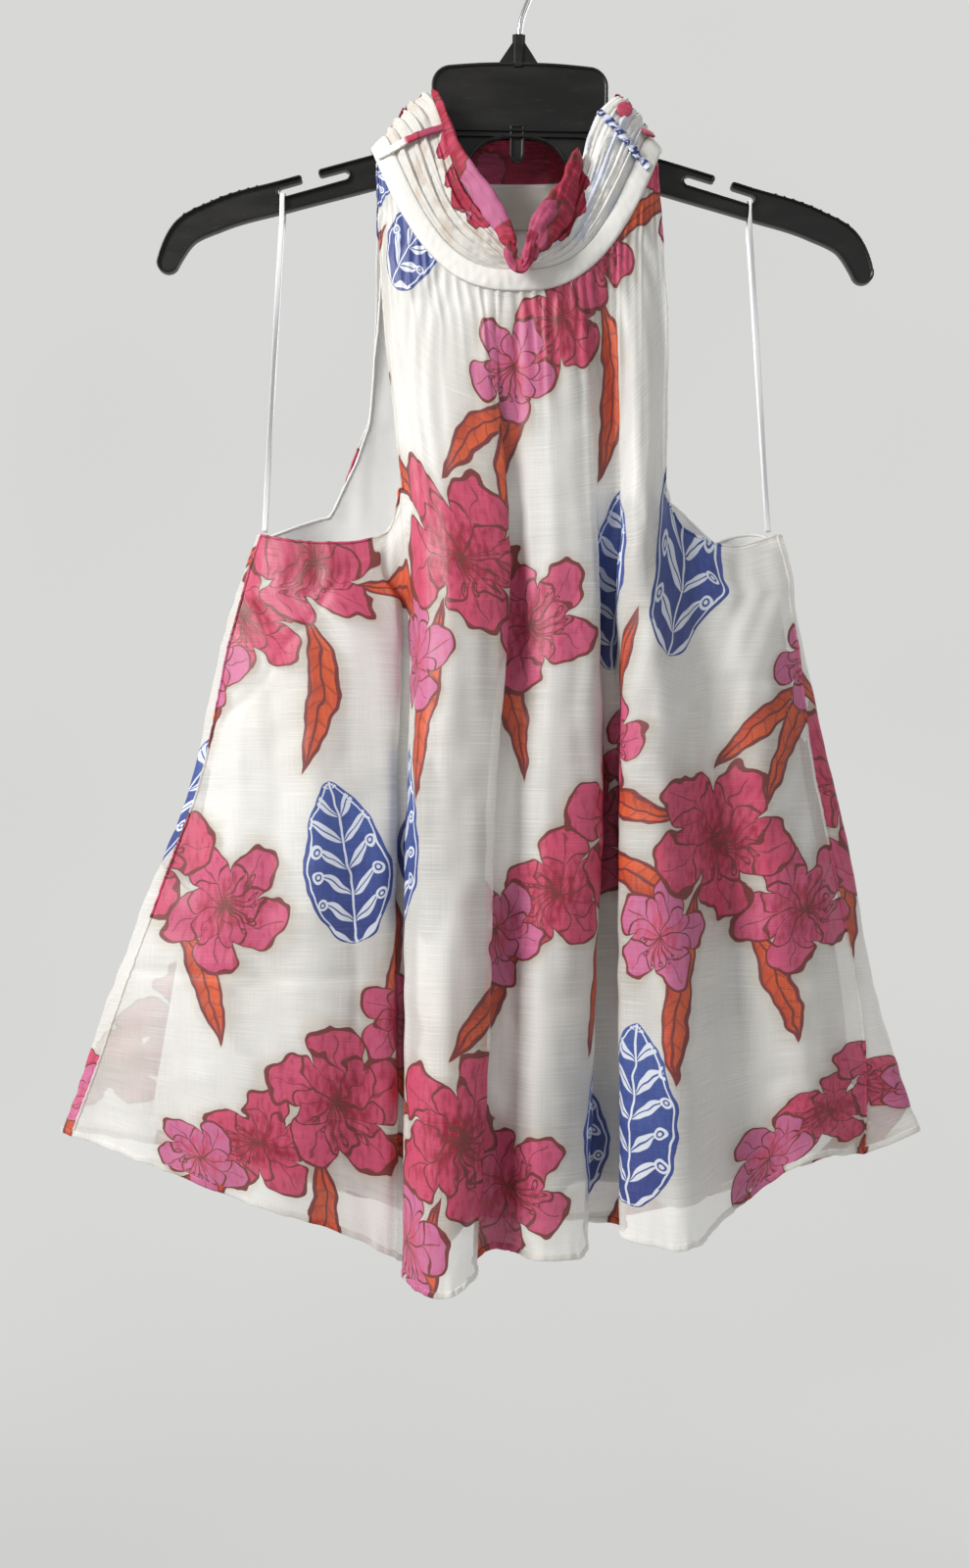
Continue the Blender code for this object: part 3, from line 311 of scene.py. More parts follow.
# A petal's drawn line in radii, and the length and half width that a drop's filling is drawn for
LINE = 0.034
PETALS = 5
DROP_SIZE = (104.0, 28.0)
# How far each motif's lines waver along its own two coordinates
WAVERING = {"drop": (0.05, 0.2), "leaf": (0.05, 0.7), "under": (0.3, 0.3), "over": (0.3, 0.3)}


def spline_weights(knots, places):
    """Weights that read a smooth curve through one value at each knot, at any places.

    Each stretch is a cubic with the slopes of its two knots, and a knot's slope is the mean of the
    slopes of the stretches beside it, the shorter stretch counting for more.
    """
    knots = np.asarray(knots, float)
    places = np.asarray(places, float)
    count = len(knots)
    gaps = np.diff(knots)
    slopes = (np.eye(count)[1:] - np.eye(count)[:-1]) / gaps[:, None]
    tangents = np.zeros((count, count))
    inner = gaps[1:, None] * slopes[:-1] + gaps[:-1, None] * slopes[1:]
    tangents[1:-1] = inner / (gaps[1:] + gaps[:-1])[:, None]
    tangents[0] = 1.5 * slopes[0] - 0.5 * tangents[1]
    tangents[-1] = 1.5 * slopes[-1] - 0.5 * tangents[-2]
    at = np.clip(np.searchsorted(knots, places, side="right") - 1, 0, count - 2)
    f = ((places - knots[at]) / gaps[at])[:, None]
    span = gaps[at][:, None]
    ends = np.eye(count)
    return (
        (2 * f**3 - 3 * f**2 + 1) * ends[at]
        + (f**3 - 2 * f**2 + f) * span * tangents[at]
        + (3 * f**2 - 2 * f**3) * ends[at + 1]
        + (f**3 - f**2) * span * tangents[at + 1]
    )


def smooth_path(points, count):
    """count points at even steps on a smooth curve through the points."""
    points = np.asarray(points, float)
    steps = np.linalg.norm(np.diff(points[:, :3], axis=0), axis=1)
    knots = np.concatenate([[0.0], np.cumsum(steps)])
    return spline_weights(knots, np.linspace(0, knots[-1], count)) @ points


def unit(vectors):
    return vectors / np.maximum(np.linalg.norm(vectors, axis=-1, keepdims=True), 1e-9)


def full_turn(count):
    """count angles at even steps round a circle."""
    return np.linspace(0, 2 * np.pi, count, endpoint=False)


def run_along(points, axis):
    """The distance run along a grid of points from its first row or column."""
    steps = np.linalg.norm(np.diff(points, axis=axis), axis=-1)
    start = np.zeros_like(np.take(steps, [0], axis=axis))
    return np.concatenate([start, np.cumsum(steps, axis=axis)], axis=axis)


def waver(seed, size, *places, waves=9):
    """A smooth, uneven field between about -1 and 1: the sum of cosines that run in seeded directions.

    size is the length of one wave along each place, and each cosine is up to half shorter or longer.
    """
    rng = np.random.default_rng(seed)
    sizes = np.broadcast_to(np.asarray(size, float), (len(places),))
    total = 0.0
    for _ in range(waves):
        way = unit(rng.normal(size=len(places)))
        stretch = rng.uniform(0.7, 1.5)
        turn = sum(place * (2 * math.pi * w * stretch / s) for place, w, s in zip(places, way, sizes))
        total = total + np.cos(turn + rng.uniform(0, 2 * math.pi))
    return total / math.sqrt(waves)


def neck_ring(angle, inset=0.0):
    """Points of the seam between collar and body, at angles in degrees from the front centre."""
    turn = np.radians(np.asarray(angle, float))
    front = np.cos(turn) > 0
    depth = np.where(front, RING_FRONT["depth"], RING_BACK["depth"]) - inset
    drop = np.where(front, RING_FRONT["drop"], RING_BACK["drop"])
    power = np.where(front, RING_FRONT["power"], RING_BACK["power"])
    x = (RING_HALF_WIDTH - 0.7 * inset) * np.sin(turn)
    y = -depth * np.sign(np.cos(turn)) * np.abs(np.cos(turn)) ** RING_ROUNDNESS
    z = RING_SHOULDER_Z - drop * (1 - np.abs(np.sin(turn)) ** power)
    return np.stack([x, y, z], axis=-1)


def collar_edge(angle):
    """The collar's upper edge at angles in degrees: where its pleats end in front, and its rim behind."""
    angle = np.asarray(angle, float)
    turn = np.radians(angle)
    top = COLLAR_TOP
    behind = np.stack(
        [
            top["centre"] + top["half_width"] * np.sin(turn),
            -top["depth"] * np.cos(turn),
            top["shoulder_z"] - top["drop"] * (1 - np.sin(turn) ** 2),
        ],
        axis=-1,
    )
    rows = [row[0] for row in PLEAT_TOP]
    weights = spline_weights(rows, np.clip(np.abs(angle), 0, rows[-1]).ravel())
    left = (weights @ np.array([row[1] for row in PLEAT_TOP], float)).reshape(angle.shape + (3,))
    right = (weights @ np.array([row[2] for row in PLEAT_TOP], float)).reshape(angle.shape + (3,))
    before = np.where((angle < 0)[..., None], left, right)
    return np.where((np.abs(angle) > 90)[..., None], behind, before)


def collar_normal(angle):
    """The direction straight out of the collar, from its slope up and its run round the neck."""
    step = 1.0
    run = neck_ring(angle + step) - neck_ring(angle - step)
    run = run + collar_edge(angle + step) - collar_edge(angle - step)
    return unit(np.cross(run, collar_edge(angle) - neck_ring(angle)))


def collar_surface(angle, share, pleat_depth, wander=0.0):
    """Points above the band: share runs from 0 at the band to 1 at the upper edge.

    The cloth is a straight line between the two edges, bowed outwards. Each pleat rises as a power
    of its own width and drops at its upper fold, and all of them run round the neck and die away
    where the collar narrows to the front centre. wander shifts them along the rise.
    """
    low = neck_ring(angle)
    rise = collar_edge(angle) - low
    height = np.linalg.norm(rise, axis=-1, keepdims=True)
    foot = low + rise / height * (BAND_WIDTH + SEAM_GAP)
    room = height[..., 0] - BAND_WIDTH
    across = np.clip(PLEATS * (share + wander), 0, PLEATS) % 1.0
    fold = np.clip((across - 0.78) / 0.22, 0, 1)
    leaning = across**0.6 * (1 - fold * fold * (3 - 2 * fold))
    fade = np.clip((room - 10.0) / 22.0, 0, 1)
    within = np.clip(share, 0, 1)
    before = np.where(angle < 0, COLLAR_BULGE["left"], COLLAR_BULGE["right"])
    bulge = np.where(np.abs(angle) > 90, COLLAR_BULGE["back"], before)
    bow = bulge * 4 * within * (1 - within)
    out = (bow * fade + pleat_depth * leaning * fade)[..., None] * collar_normal(angle)
    return foot + (collar_edge(angle) - foot) * share[..., None] + out


class Panel:
    """A body panel: fold lines side by side, each a smooth curve from the neck or armhole to the hem."""

    def __init__(self, folds, back, inset, gather):
        self.side = 1.0 if back else -1.0
        self.gather = gather
        self.necks = [row[1] for row in folds]
        rows = [index for index, neck in enumerate(self.necks) if neck is not None]
        self.first, self.last = rows[0], rows[-1]
        self.points = np.array([self.stations(row, back, inset) for row in folds])
        self.mirror_past(self.first, -1)
        self.mirror_past(self.last, 1)
        waist = self.points[:, list(LEVEL_KNOTS).index("waist"), :2]
        steps = np.sqrt(np.linalg.norm(np.diff(waist, axis=0), axis=1))
        self.knots = np.concatenate([[0.0], np.cumsum(steps)])
        self.levels = np.array(list(LEVEL_KNOTS.values()), float)
        self.columns = [row[-1] for row in folds]
        self.back, self.inset = back, inset

    def stations(self, row, back, inset):
        """A fold line's points at the seven levels."""
        _, neck, bow, arm, under, waist, hip, hem, _ = row
        arm = np.array(arm, float)
        if neck is None:
            top = yoke = np.zeros(3)
        else:
            top = self.neck_point(neck, back, inset)
            yoke = (top + arm) / 2 + np.array([bow, 0, 0])
        return [top, yoke, arm, (*under, UNDER_Z), (*waist, WAIST_Z), (*hip, HIP_Z), hem]

    def neck_point(self, neck, back, inset):
        """Where the panel is sewn on, just below the ring."""
        angle = 180 - np.asarray(neck, float) if back else np.asarray(neck, float)
        low = neck_ring(angle, inset)
        return low - unit(collar_edge(angle) - low) * (SEAM_GAP + 0.4 * self.gather)

    def mirror_past(self, edge, step):
        """Above the armhole a line beyond the panel's edge only mirrors the one inside it."""
        past, inside = edge + step, edge - step
        self.points[past, :2] = 2 * self.points[edge, :2] - self.points[inside, :2]

    def columns_at(self, split):
        """(places across, count of coarse columns so far) of fine columns, split to each coarse one."""
        places, phases, start = [], [], 0
        for index, columns in enumerate(self.columns[:-1]):
            count = columns * split
            places.append(np.linspace(self.knots[index], self.knots[index + 1], count, endpoint=False))
            phases.append(start + np.arange(count) / split)
            start += columns
        places.append([self.knots[-1]])
        phases.append([start])
        return np.concatenate(places), np.concatenate(phases)

    def grid(self, across, down):
        """Points for each distance down (rows) and place across (columns), eased onto the neck seam."""
        weights = spline_weights(self.knots, across)
        points = np.einsum("ci,ijk,rj->rck", weights, self.points, spline_weights(self.levels, down))
        seam_knots = self.knots[self.first : self.last + 1]
        at = np.clip(across, seam_knots[0], seam_knots[-1])
        angle = spline_weights(seam_knots, at) @ np.array(self.necks[self.first : self.last + 1], float)
        drawn = weights @ self.points[:, 0]
        eased = np.exp(-((down / 40.0) ** 2))[:, None, None]
        return points + (self.neck_point(angle, self.back, self.inset) - drawn) * eased


def facing(points, side):
    """The direction each point of a grid faces: across its rows and columns, towards -Y for side -1."""
    down = np.gradient(points, axis=0)
    across = np.gradient(points, axis=1)
    return unit(np.cross(down, across)) * -side


# ---- meshes


def mesh_piece(name, points, faces, finish, uv=None):
    """A smooth object from points in millimetres and arrays of faces, with each point's place on the cut."""
    mesh = bpy.data.meshes.new(name)
    corner_lists = [face for group in faces for face in group.tolist()]
    mesh.from_pydata((np.asarray(points, float) * MM).tolist(), [], corner_lists)
    mesh.update()
    if uv is not None:
        corners = np.empty(len(mesh.loops), np.int32)
        mesh.loops.foreach_get("vertex_index", corners)
        mesh.uv_layers.new(name=CLOTH_MAP).uv.foreach_set("vector", (uv[corners] * MM).ravel())
    mesh.shade_smooth()
    mesh.materials.append(finish)
    piece = bpy.data.objects.new(name, mesh)
    bpy.context.scene.collection.objects.link(piece)
    return piece


def grid_quads(rows, columns, turned=False):
    """Quads of a grid, facing the viewer where rows run down and columns run to the right."""
    numbers = np.arange(rows * columns).reshape(rows, columns)
    corners = [numbers[:-1, :-1], numbers[1:, :-1], numbers[1:, 1:], numbers[:-1, 1:]]
    faces = np.stack(corners, axis=-1).reshape(-1, 4)
    return faces[:, ::-1] if turned else faces


def grid_piece(name, points, uv, finish, keep=None, turned=False):
    """A cloth grid. keep marks the quads that exist, and points that none uses are dropped."""
    rows, columns = points.shape[:2]
    faces = grid_quads(rows, columns, turned)
    if keep is not None:
        faces = faces[keep.ravel()]
    used, again = np.unique(faces.ravel(), return_inverse=True)
    points, uv = points.reshape(-1, 3)[used], uv.reshape(-1, 2)[used]
    return mesh_piece(name, points, [again.reshape(faces.shape)], finish, uv)


def tube_faces(rows, count):
    """Faces of rings joined into a tube, with a fan over each end. The fans' middles come last."""
    around = np.arange(count)
    after = (around + 1) % count
    starts = (np.arange(rows - 1) * count)[:, None]
    sides = np.stack([starts + around, starts + after, starts + after + count, starts + around + count], -1)
    end = (rows - 1) * count
    first, last = rows * count, rows * count + 1
    low = np.stack([np.full(count, first), after, around], -1)
    high = np.stack([np.full(count, last), end + around, end + after], -1)
    return sides.reshape(-1, 4), low, high


def laid_flat(u, v):
    """The flat coordinates of a grid from its u and v, where either may be one row or one column."""
    return np.stack(np.broadcast_arrays(u, v), -1)


def with_ends(grid):
    """A grid's points in one list, followed by the means of its first and last rows."""
    return np.concatenate([grid.reshape(-1, grid.shape[-1]), grid[:1].mean(1), grid[-1:].mean(1)])


def ring_solid(name, rings, finish, uv=None):
    """A closed body through rings of points, a grid whose columns go round, with its ends filled."""
    flat = None if uv is None else with_ends(uv)
    return mesh_piece(name, with_ends(rings), tube_faces(*rings.shape[:2]), finish, flat)


def carried_oval(line, out, wide, thick, count, shape=1.0):
    """Rings of an oval carried along a line: wide along the surface, thick along out.

    shape below 1 squares the oval, as its cosine and sine are raised to that power.
    """
    along = unit(np.gradient(line, axis=0))
    across = unit(np.cross(out, along))
    lift = unit(np.cross(along, across))
    turn = full_turn(count)[None, :, None]
    side = np.sign(np.cos(turn)) * np.abs(np.cos(turn)) ** shape
    rise = np.sign(np.sin(turn)) * np.abs(np.sin(turn)) ** shape
    wide = np.broadcast_to(np.asarray(wide, float), (len(line),))[:, None, None]
    thick = np.broadcast_to(np.asarray(thick, float), (len(line),))[:, None, None]
    return line[:, None] + across[:, None] * wide * side + lift[:, None] * thick * rise


def evenly(points, step, *others):
    """The same line, and what goes with it, at even steps of its length."""
    run = run_along(points, 0)
    places = np.linspace(0, run[-1], max(4, int(run[-1] / step)))
    read = [np.stack([np.interp(places, run, column) for column in item.T], -1) for item in (points, *others)]
    return [*read, places]


# ---- materials

WHITE = (1.0, 1.0, 1.0, 1.0)
BLACK = (0.0, 0.0, 0.0, 1.0)
# The deep tone of any thread, and a grey that is mixed into the collar's and band's grounds as painted shade
DARK = (0.25, 0.22, 0.22, 1.0)
PAINTED_SHADE_GREY = (0.3, 0.29, 0.27, 1.0)


class Term:
    """One number, vector or colour of a material. Sums and products of terms add their Math nodes."""

    def __init__(self, tree, socket):
        self.tree = tree
        self.socket = socket

    def node(self, kind, settings=None, inputs=None, output=0):
        """Adds a node of a kind, makes its settings first and then fills or links its sockets."""
        made = self.tree.nodes.new(kind)
        for key, value in (settings or {}).items():
            setattr(made, key, value)
        for key, value in (inputs or {}).items():
            if isinstance(value, Term):
                self.tree.links.new(value.socket, made.inputs[key])
            else:
                made.inputs[key].default_value = value
        return Term(self.tree, made.outputs[output])

    def math(self, operation, *terms):
        return self.node("ShaderNodeMath", {"operation": operation}, dict(enumerate(terms)))

    def __add__(self, other):
        return self.math("ADD", self, other)

    __radd__ = __add__

    def __sub__(self, other):
        return self.math("SUBTRACT", self, other)

    def __rsub__(self, other):
        return self.math("SUBTRACT", other, self)

    def __mul__(self, other):
        return self.math("MULTIPLY", self, other)

    __rmul__ = __mul__

    def __truediv__(self, other):
        return self.math("DIVIDE", self, other)

    def __pow__(self, other):
        return self.math("POWER", self, other)

    def __abs__(self):
        return self.math("ABSOLUTE", self)

    def of(self, function):
        """A function of this number alone, such as SINE or SQRT."""
        return self.math(function, self)

    def least(self, other):
        return self.math("MINIMUM", self, other)

    def most(self, other):
        return self.math("MAXIMUM", self, other)

    def wrap(self, span):
        """The number brought between -span / 2 and span / 2 by whole steps of span."""
        return self.math("WRAP", self, span / 2, -span / 2)

    def step(self, low, high):
        """0 below low and 1 above high, with a smooth rise between. low above high turns it round."""
        settings = {"interpolation_type": "SMOOTHSTEP"}
        return self.node("ShaderNodeMapRange", settings, {"Value": self, "From Min": low, "From Max": high})

    def colour(self, before, after):
        """before where this number is 0, after where it is 1."""
        settings = {"data_type": "RGBA"}
        return self.node("ShaderNodeMix", settings, {0: self, 6: before, 7: after}, 2)

    def noise(self, scale, detail=2.0, roughness=0.5, output=0, dimensions="2D"):
        """Smooth noise read at this vector."""
        inputs = {"Vector": self, "Scale": scale, "Detail": detail, "Roughness": roughness}
        return self.node("ShaderNodeTexNoise", {"noise_dimensions": dimensions}, inputs, output)

    def drift(self, scale, detail):
        """Three smooth noises at once, as a vector whose parts lie around 0.5."""
        return self.noise(scale, detail, 0.5, 1)

    def solid_noise(self, scale, detail=2.0, roughness=0.5):
        """Smooth noise that changes in all three directions."""
        return self.noise(scale, detail, roughness, 0, "3D")

    def stretched(self, x, y, z=1.0):
        """This vector with each of its axes multiplied."""
        return self.node("ShaderNodeMapping", {}, {"Vector": self, "Scale": (x, y, z)})

    def plus(self, other):
        """This vector and another one, or three numbers, added up."""
        return self.node("ShaderNodeVectorMath", {"operation": "ADD"}, {0: self, 1: other})

    def parts(self):
        """The x and y of this vector."""
        split = self.node("ShaderNodeSeparateXYZ", {}, {0: self})
        node = split.socket.node
        return Term(self.tree, node.outputs[0]), Term(self.tree, node.outputs[1])


def paint(colour):
    """A colour of 0 to 1 as a screen shows it, as the linear one that a shader takes, with alpha."""
    values = np.asarray(colour, float)[:3]
    linear = np.where(values <= 0.04045, values / 12.92, ((values + 0.055) / 1.055) ** 2.4)
    return (*linear.tolist(), 1.0)


class Finish:
    """A material with one Principled shader, and the cloth's own cut to read patterns from."""

    def __init__(self, name, roughness, **constants):
        self.material = bpy.data.materials.new(name)
        self.material.use_nodes = True
        self.tree = self.material.node_tree
        self.shader = self.tree.nodes["Principled BSDF"]
        self.shader.inputs["Roughness"].default_value = roughness
        for key, value in constants.items():
            self.shader.inputs[key.replace("_", " ")].default_value = value
        self.start = Term(self.tree, None)

    def laid(self, name):
        """The coordinates of a piece's UV map of that name."""
        return self.start.node("ShaderNodeUVMap", {"uv_map": name})

    def cut(self):
        """The place on the flat cloth, in millimetres."""
        return self.laid(CLOTH_MAP).stretched(*[1 / MM] * 3)

    def place(self):
        """The place in the frame, in millimetres."""
        return self.start.node("ShaderNodeTexCoord", {}, {}, 3).stretched(*[1 / MM] * 3)

    def link(self, socket, term):
        self.tree.links.new(term.socket, self.shader.inputs[socket])

    def made(self, colour, roughness, height, relief):
        """The material with its colour, roughness and bump: a height of 0 to 1, and relief in millimetres."""
        self.link("Base Color", colour)
        self.link("Roughness", roughness)
        inputs = {"Height": height, "Distance": relief * MM, "Strength": 1.0}
        self.link("Normal", self.start.node("ShaderNodeBump", {}, inputs))
        return self.material


def weave(cut, slub=1.0):
    """(tone, height) of a plain weave with slubs: thin uneven threads both ways, some of them thicker."""
    across = cut.stretched(0.035, 2.2).noise(1.0, 0.0)
    down = cut.stretched(2.2, 0.035).noise(1.0, 0.0)
    height = across * 0.6 + down * 0.4 + across.step(0.62, 0.8) * (0.3 * slub)
    tone = (across * 1.3 + down * 0.7 - 1.0) * (0.055 * slub)
    return tone, height


def toned(colour, tone):
    """A colour made lighter or darker by a tone around 0."""
    darker = (tone * -1.0).most(0.0).least(1.0)
    lighter = tone.most(0.0).least(1.0)
    return lighter.colour(darker.colour(colour, DARK), WHITE)


def copies_near(middles, motif):
    """The centre of the copy of a motif nearest to each place, in a half-drop repeat.

    Whole widths of the repeat come off u, and each of them moves v by half a height.
    """
    width, height = REPEAT
    column = np.round((middles[:, 0] - motif[0]) / width)
    fall = motif[1] + column * height / 2
    row = np.round((middles[:, 1] - fall) / height)
    return np.stack([motif[0] + column * width, fall + row * height], -1)


def turned_by(offsets, degrees):
    """Offsets read along axes that are turned by degrees."""
    cosine, sine = np.cos(np.radians(degrees)), np.sin(np.radians(degrees))
    x, y = offsets[..., 0], offsets[..., 1]
    return x * cosine + y * sine, y * cosine - x * sine


def blossom_place(offsets, size):
    """A blossom's own coordinates, in radii: squashed across its turn."""
    x, y = turned_by(offsets, size[..., 1])
    place = np.stack([x / size[..., 0], y / (size[..., 0] * size[..., 2])], -1)
    return place, np.hypot(place[..., 0], place[..., 1])


def blade_place(offsets, size):
    """A leaf's or drop's own coordinates: the share of its length, and half widths off its bent axis."""
    length, half, turn, bend = np.moveaxis(size, -1, 0)
    x, y = turned_by(offsets, turn)
    share = x / length
    side = (y - bend * length * share * (share - 1)) / half
    beyond = np.maximum(np.abs(share - 0.5) - 0.5, 0) * length + np.maximum(np.abs(side) - 1, 0) * half
    return np.stack([share, side], -1), beyond


def lay_print(piece, shift):
    """Gives each face the coordinates of the motifs nearest to it, and a finish that paints only those."""
    mesh = piece.data
    flat = np.empty(len(mesh.loops) * 2)
    mesh.uv_layers[CLOTH_MAP].uv.foreach_get("vector", flat)
    flat = flat.reshape(-1, 2) / MM + shift
    starts = np.empty(len(mesh.polygons), np.int32)
    totals = np.empty(len(mesh.polygons), np.int32)
    mesh.polygons.foreach_get("loop_start", starts)
    mesh.polygons.foreach_get("loop_total", totals)
    middles = np.add.reduceat(flat, starts) / totals[:, None]
    tint = np.zeros((len(flat), 2))
    code = np.zeros(len(starts), int)
    kinds = (("over", OVER, blossom_place), ("under", UNDER, blossom_place),
             ("leaf", LEAVES, blade_place), ("drop", DROPS, blade_place))
    for index, (name, motifs, placed) in enumerate(kinds):
        centres = np.array([copies_near(middles, motif) for motif in motifs])
        sizes = np.array([motif[2:] for motif in motifs], float)
        reach = placed(middles[None] - centres, np.repeat(sizes[:, None], len(middles), 1))[1]
        nearest = np.argmin(reach, axis=0)
        chosen = centres[nearest, np.arange(len(middles))]
        place, _ = placed(flat - np.repeat(chosen, totals, 0), np.repeat(sizes[nearest], totals, 0))
        mesh.uv_layers.new(name=name).uv.foreach_set("vector", place.ravel())
        code += (reach.min(0) < REACH[name]).astype(int) << index
        if placed is blossom_place:
            tint[:, index] = np.repeat(sizes[nearest, 3], totals)
    mesh.uv_layers.new(name="tint").uv.foreach_set("vector", tint.ravel())
    mesh.materials.clear()
    used, slots = np.unique(code, return_inverse=True)
    for flags in used:
        parts = [kind[0] for index, kind in enumerate(kinds) if flags >> index & 1]
        mesh.materials.append(finish_named(" ".join(["printed voile", *parts])))
    mesh.polygons.foreach_set("material_index", slots.astype(np.int32))


def mix_inks(first, second, share):
    return tuple(a + (b - a) * share for a, b in zip(first, second))


def with_painted_shade(colour, share):
    """A colour with part of it turned to grey: painted shade that makes the collar and band look less lit."""
    return mix_inks(colour, PAINTED_SHADE_GREY, share)


def over_paint(below, colour, inside, printed):
    """Paints a colour over what lies below it where inside is 1, and keeps count of where ink lies."""
    return inside.colour(below, colour), printed.most(inside)


def blossom(below, printed, place, tint, streaks, inks):
    """Paints an open blossom: pointed petals in two rows, drawn in wine, with a fan of stamens.

    A petal's edge is one radius at its axis, and falls with a share of the turn away from that axis
    and the cube of that share. The inner row stands between the petals of the outer one.
    """
    x, y = place.parts()
    r = (x * x + y * y).of("SQRT")
    wedge = 2 * math.pi / PETALS
    angle = y.math("ARCTAN2", y, x)
    swirled = angle + r * 0.3
    off_axis = swirled.wrap(wedge)
    lean = abs(off_axis) * (2 / wedge)
    room = 1.0 - lean * (lean * lean * 0.38 + 0.1) - r
    inner_axis = (swirled + wedge / 2).wrap(wedge)
    inner_lean = abs(inner_axis) * (2 / wedge)
    inner_room = 0.66 - inner_lean * (inner_lean * inner_lean * 0.22 + 0.08) - r
    inner = inner_room.step(0.0, 0.006)
    seam = (r * (wedge / 2 - abs(off_axis))).step(LINE * 0.62, LINE * 0.36)
    rib = (r * abs(off_axis + 0.05)).step(LINE * 0.4, LINE * 0.2) * room.step(0.08, 0.12)
    outer_lines = seam.most(rib * 0.75)
    inner_seam = (r * (wedge / 2 - abs(inner_axis))).step(LINE * 0.5, LINE * 0.3)
    inner_rib = (r * abs(inner_axis - 0.06)).step(LINE * 0.36, LINE * 0.18) * inner_room.step(0.1, 0.14)
    inner_lines = inner_seam.most(inner_rib * 0.8)
    lines = (outer_lines * (1.0 - inner)).most(inner_lines * inner)
    lines = lines.most(abs(inner_room - 0.004).step(LINE * 0.75, LINE * 0.5))
    fan = angle.math("COMPARE", angle, 0.5, 1.0)
    off_stamen = (angle + r * 0.2).wrap(0.36)
    aside = r * abs(off_stamen)
    stamens = aside.step(LINE * 0.42, LINE * 0.24) * r.step(0.5, 0.48)
    off_anther = r - 0.49
    anthers = abs((off_anther * off_anther * 0.22 + aside * aside) - 0.0012).step(0.0007, 0.0004)
    lines = lines.most(stamens.most(anthers) * fan)
    light = tint.colour(inks["pink"], inks["mauve"])
    deep = tint.colour(inks["crimson"], inks["pink"])
    shade = (r * -1.6 + 0.85 + inner * 0.1).most(0.0) * 0.55 + (streaks - 0.42) * 1.1 + lean * 0.12
    petal = shade.step(0.0, 0.8).colour(light, deep)
    petal = lines.most(room.step(LINE * 1.0, LINE * 0.75)).colour(petal, inks["wine"])
    halo = room.step(-0.26, -0.02) * (1.0 - printed) * 0.4
    return over_paint(halo.colour(below, inks["halo"]), petal, room.step(-LINE * 1.1, -LINE * 0.85), printed)


def leaf(below, printed, place, streaks, inks):
    """Paints a long leaf: its half width is a power of the sine of its length."""
    share, side = place.parts()
    width = (share.least(1.0).most(0.0) * math.pi).of("SINE") ** 0.8
    room = width - abs(side)
    veins = abs((share * 9.0 - abs(side) * 0.7).wrap(1.0)).step(0.1, 0.05) * 0.45
    lines = room.step(0.26, 0.2).most(abs(side).step(0.1, 0.06)).most(veins)
    shade = side.step(-0.7, 0.9) * 0.6 + share * 0.2 + (streaks - 0.5) * 0.8
    blade = lines.colour(shade.colour(inks["orange"], inks["rust"]), inks["wine"])
    ends = share.step(-0.03, 0.0) * share.step(1.03, 1.0)
    halo = room.step(-0.9, 0.0) * ends * (1.0 - printed) * 0.3
    return over_paint(halo.colour(below, inks["halo"]), blade, room.step(-0.05, 0.02) * ends, printed)


def drop(below, printed, place, streaks, inks):
    """Paints a tapering drop filled with a branch of paired leaves, rings and a dotted border."""
    share, side = place.parts()
    share = share.least(1.0).most(0.0)
    length, half = DROP_SIZE
    width = (share * math.pi).of("SINE") ** 0.6 * (1.18 - share * 0.42)
    aside = abs(side) * half
    room = width * half - aside
    along = share * length
    stem = aside.step(0.9, 0.5)
    slant = (along - aside * 0.9 + 3.0).wrap(17.0)
    reach = (aside / (half * 0.62)).least(1.0) * math.pi
    leaves = (abs(slant) - reach.of("SINE") * 4.2).step(0.3, -0.3)
    rib = abs(slant).step(0.7, 0.35)
    spot_x, spot_y = (along + 5.5).wrap(17.0), aside - half * 0.66
    spot = (spot_x * spot_x + spot_y * spot_y).of("SQRT")
    ring = abs(spot - 3.0).step(1.0, 0.6).most(spot.step(1.4, 0.9))
    border = abs(room - 3.0).step(0.7, 0.4)
    white = (leaves * (1.0 - rib)).most(stem).most(ring).most(border) * room.step(1.2, 1.6)
    shade = share * 0.8 + (streaks - 0.5) * 0.8
    fill = white.colour(shade.colour(inks["navy"], inks["blue"]), inks["pale"])
    return over_paint(below, fill, room.step(-0.2, 0.3), printed)


def printed_finish(name, parts, sheerness, inks):
    """Semi-sheer printed voile: the ground lets light through, and the ink fills its weave.

    Every motif's own coordinates are pushed about by the same noise, so that drawn lines waver.
    """
    finish = Finish(name, 0.6, Specular_IOR_Level=0.45)
    cut = finish.cut()
    tone, height = weave(cut)
    colour = cut.noise(0.012, 0.0).step(0.35, 0.7).colour(inks["cream"], inks["shade"])
    opaque = height * 0.16 + (1.0 - sheerness - 0.08)
    if parts:
        drift = cut.drift(0.06, 1.0).plus((-0.5, -0.5, -0.5))
        streaks = cut.stretched(0.3, 0.12).noise(1.0, 1.0)
        printed = streaks * 0.0
        tints = dict(zip(("over", "under"), finish.laid("tint").parts()))
    for kind, push in WAVERING.items():
        if kind not in parts:
            continue
        place = finish.laid(kind).plus(drift.stretched(*push, 0.0))
        if kind in tints:
            colour, printed = blossom(colour, printed, place, tints[kind], streaks, inks)
        else:
            colour, printed = (drop if kind == "drop" else leaf)(colour, printed, place, streaks, inks)
    if parts:
        opaque = opaque + printed * (sheerness * 0.92)
    finish.link("Alpha", opaque.least(1.0))
    return finish.made(toned(colour, tone), (height * 0.2 + 0.38).least(1.0), height, 0.05)


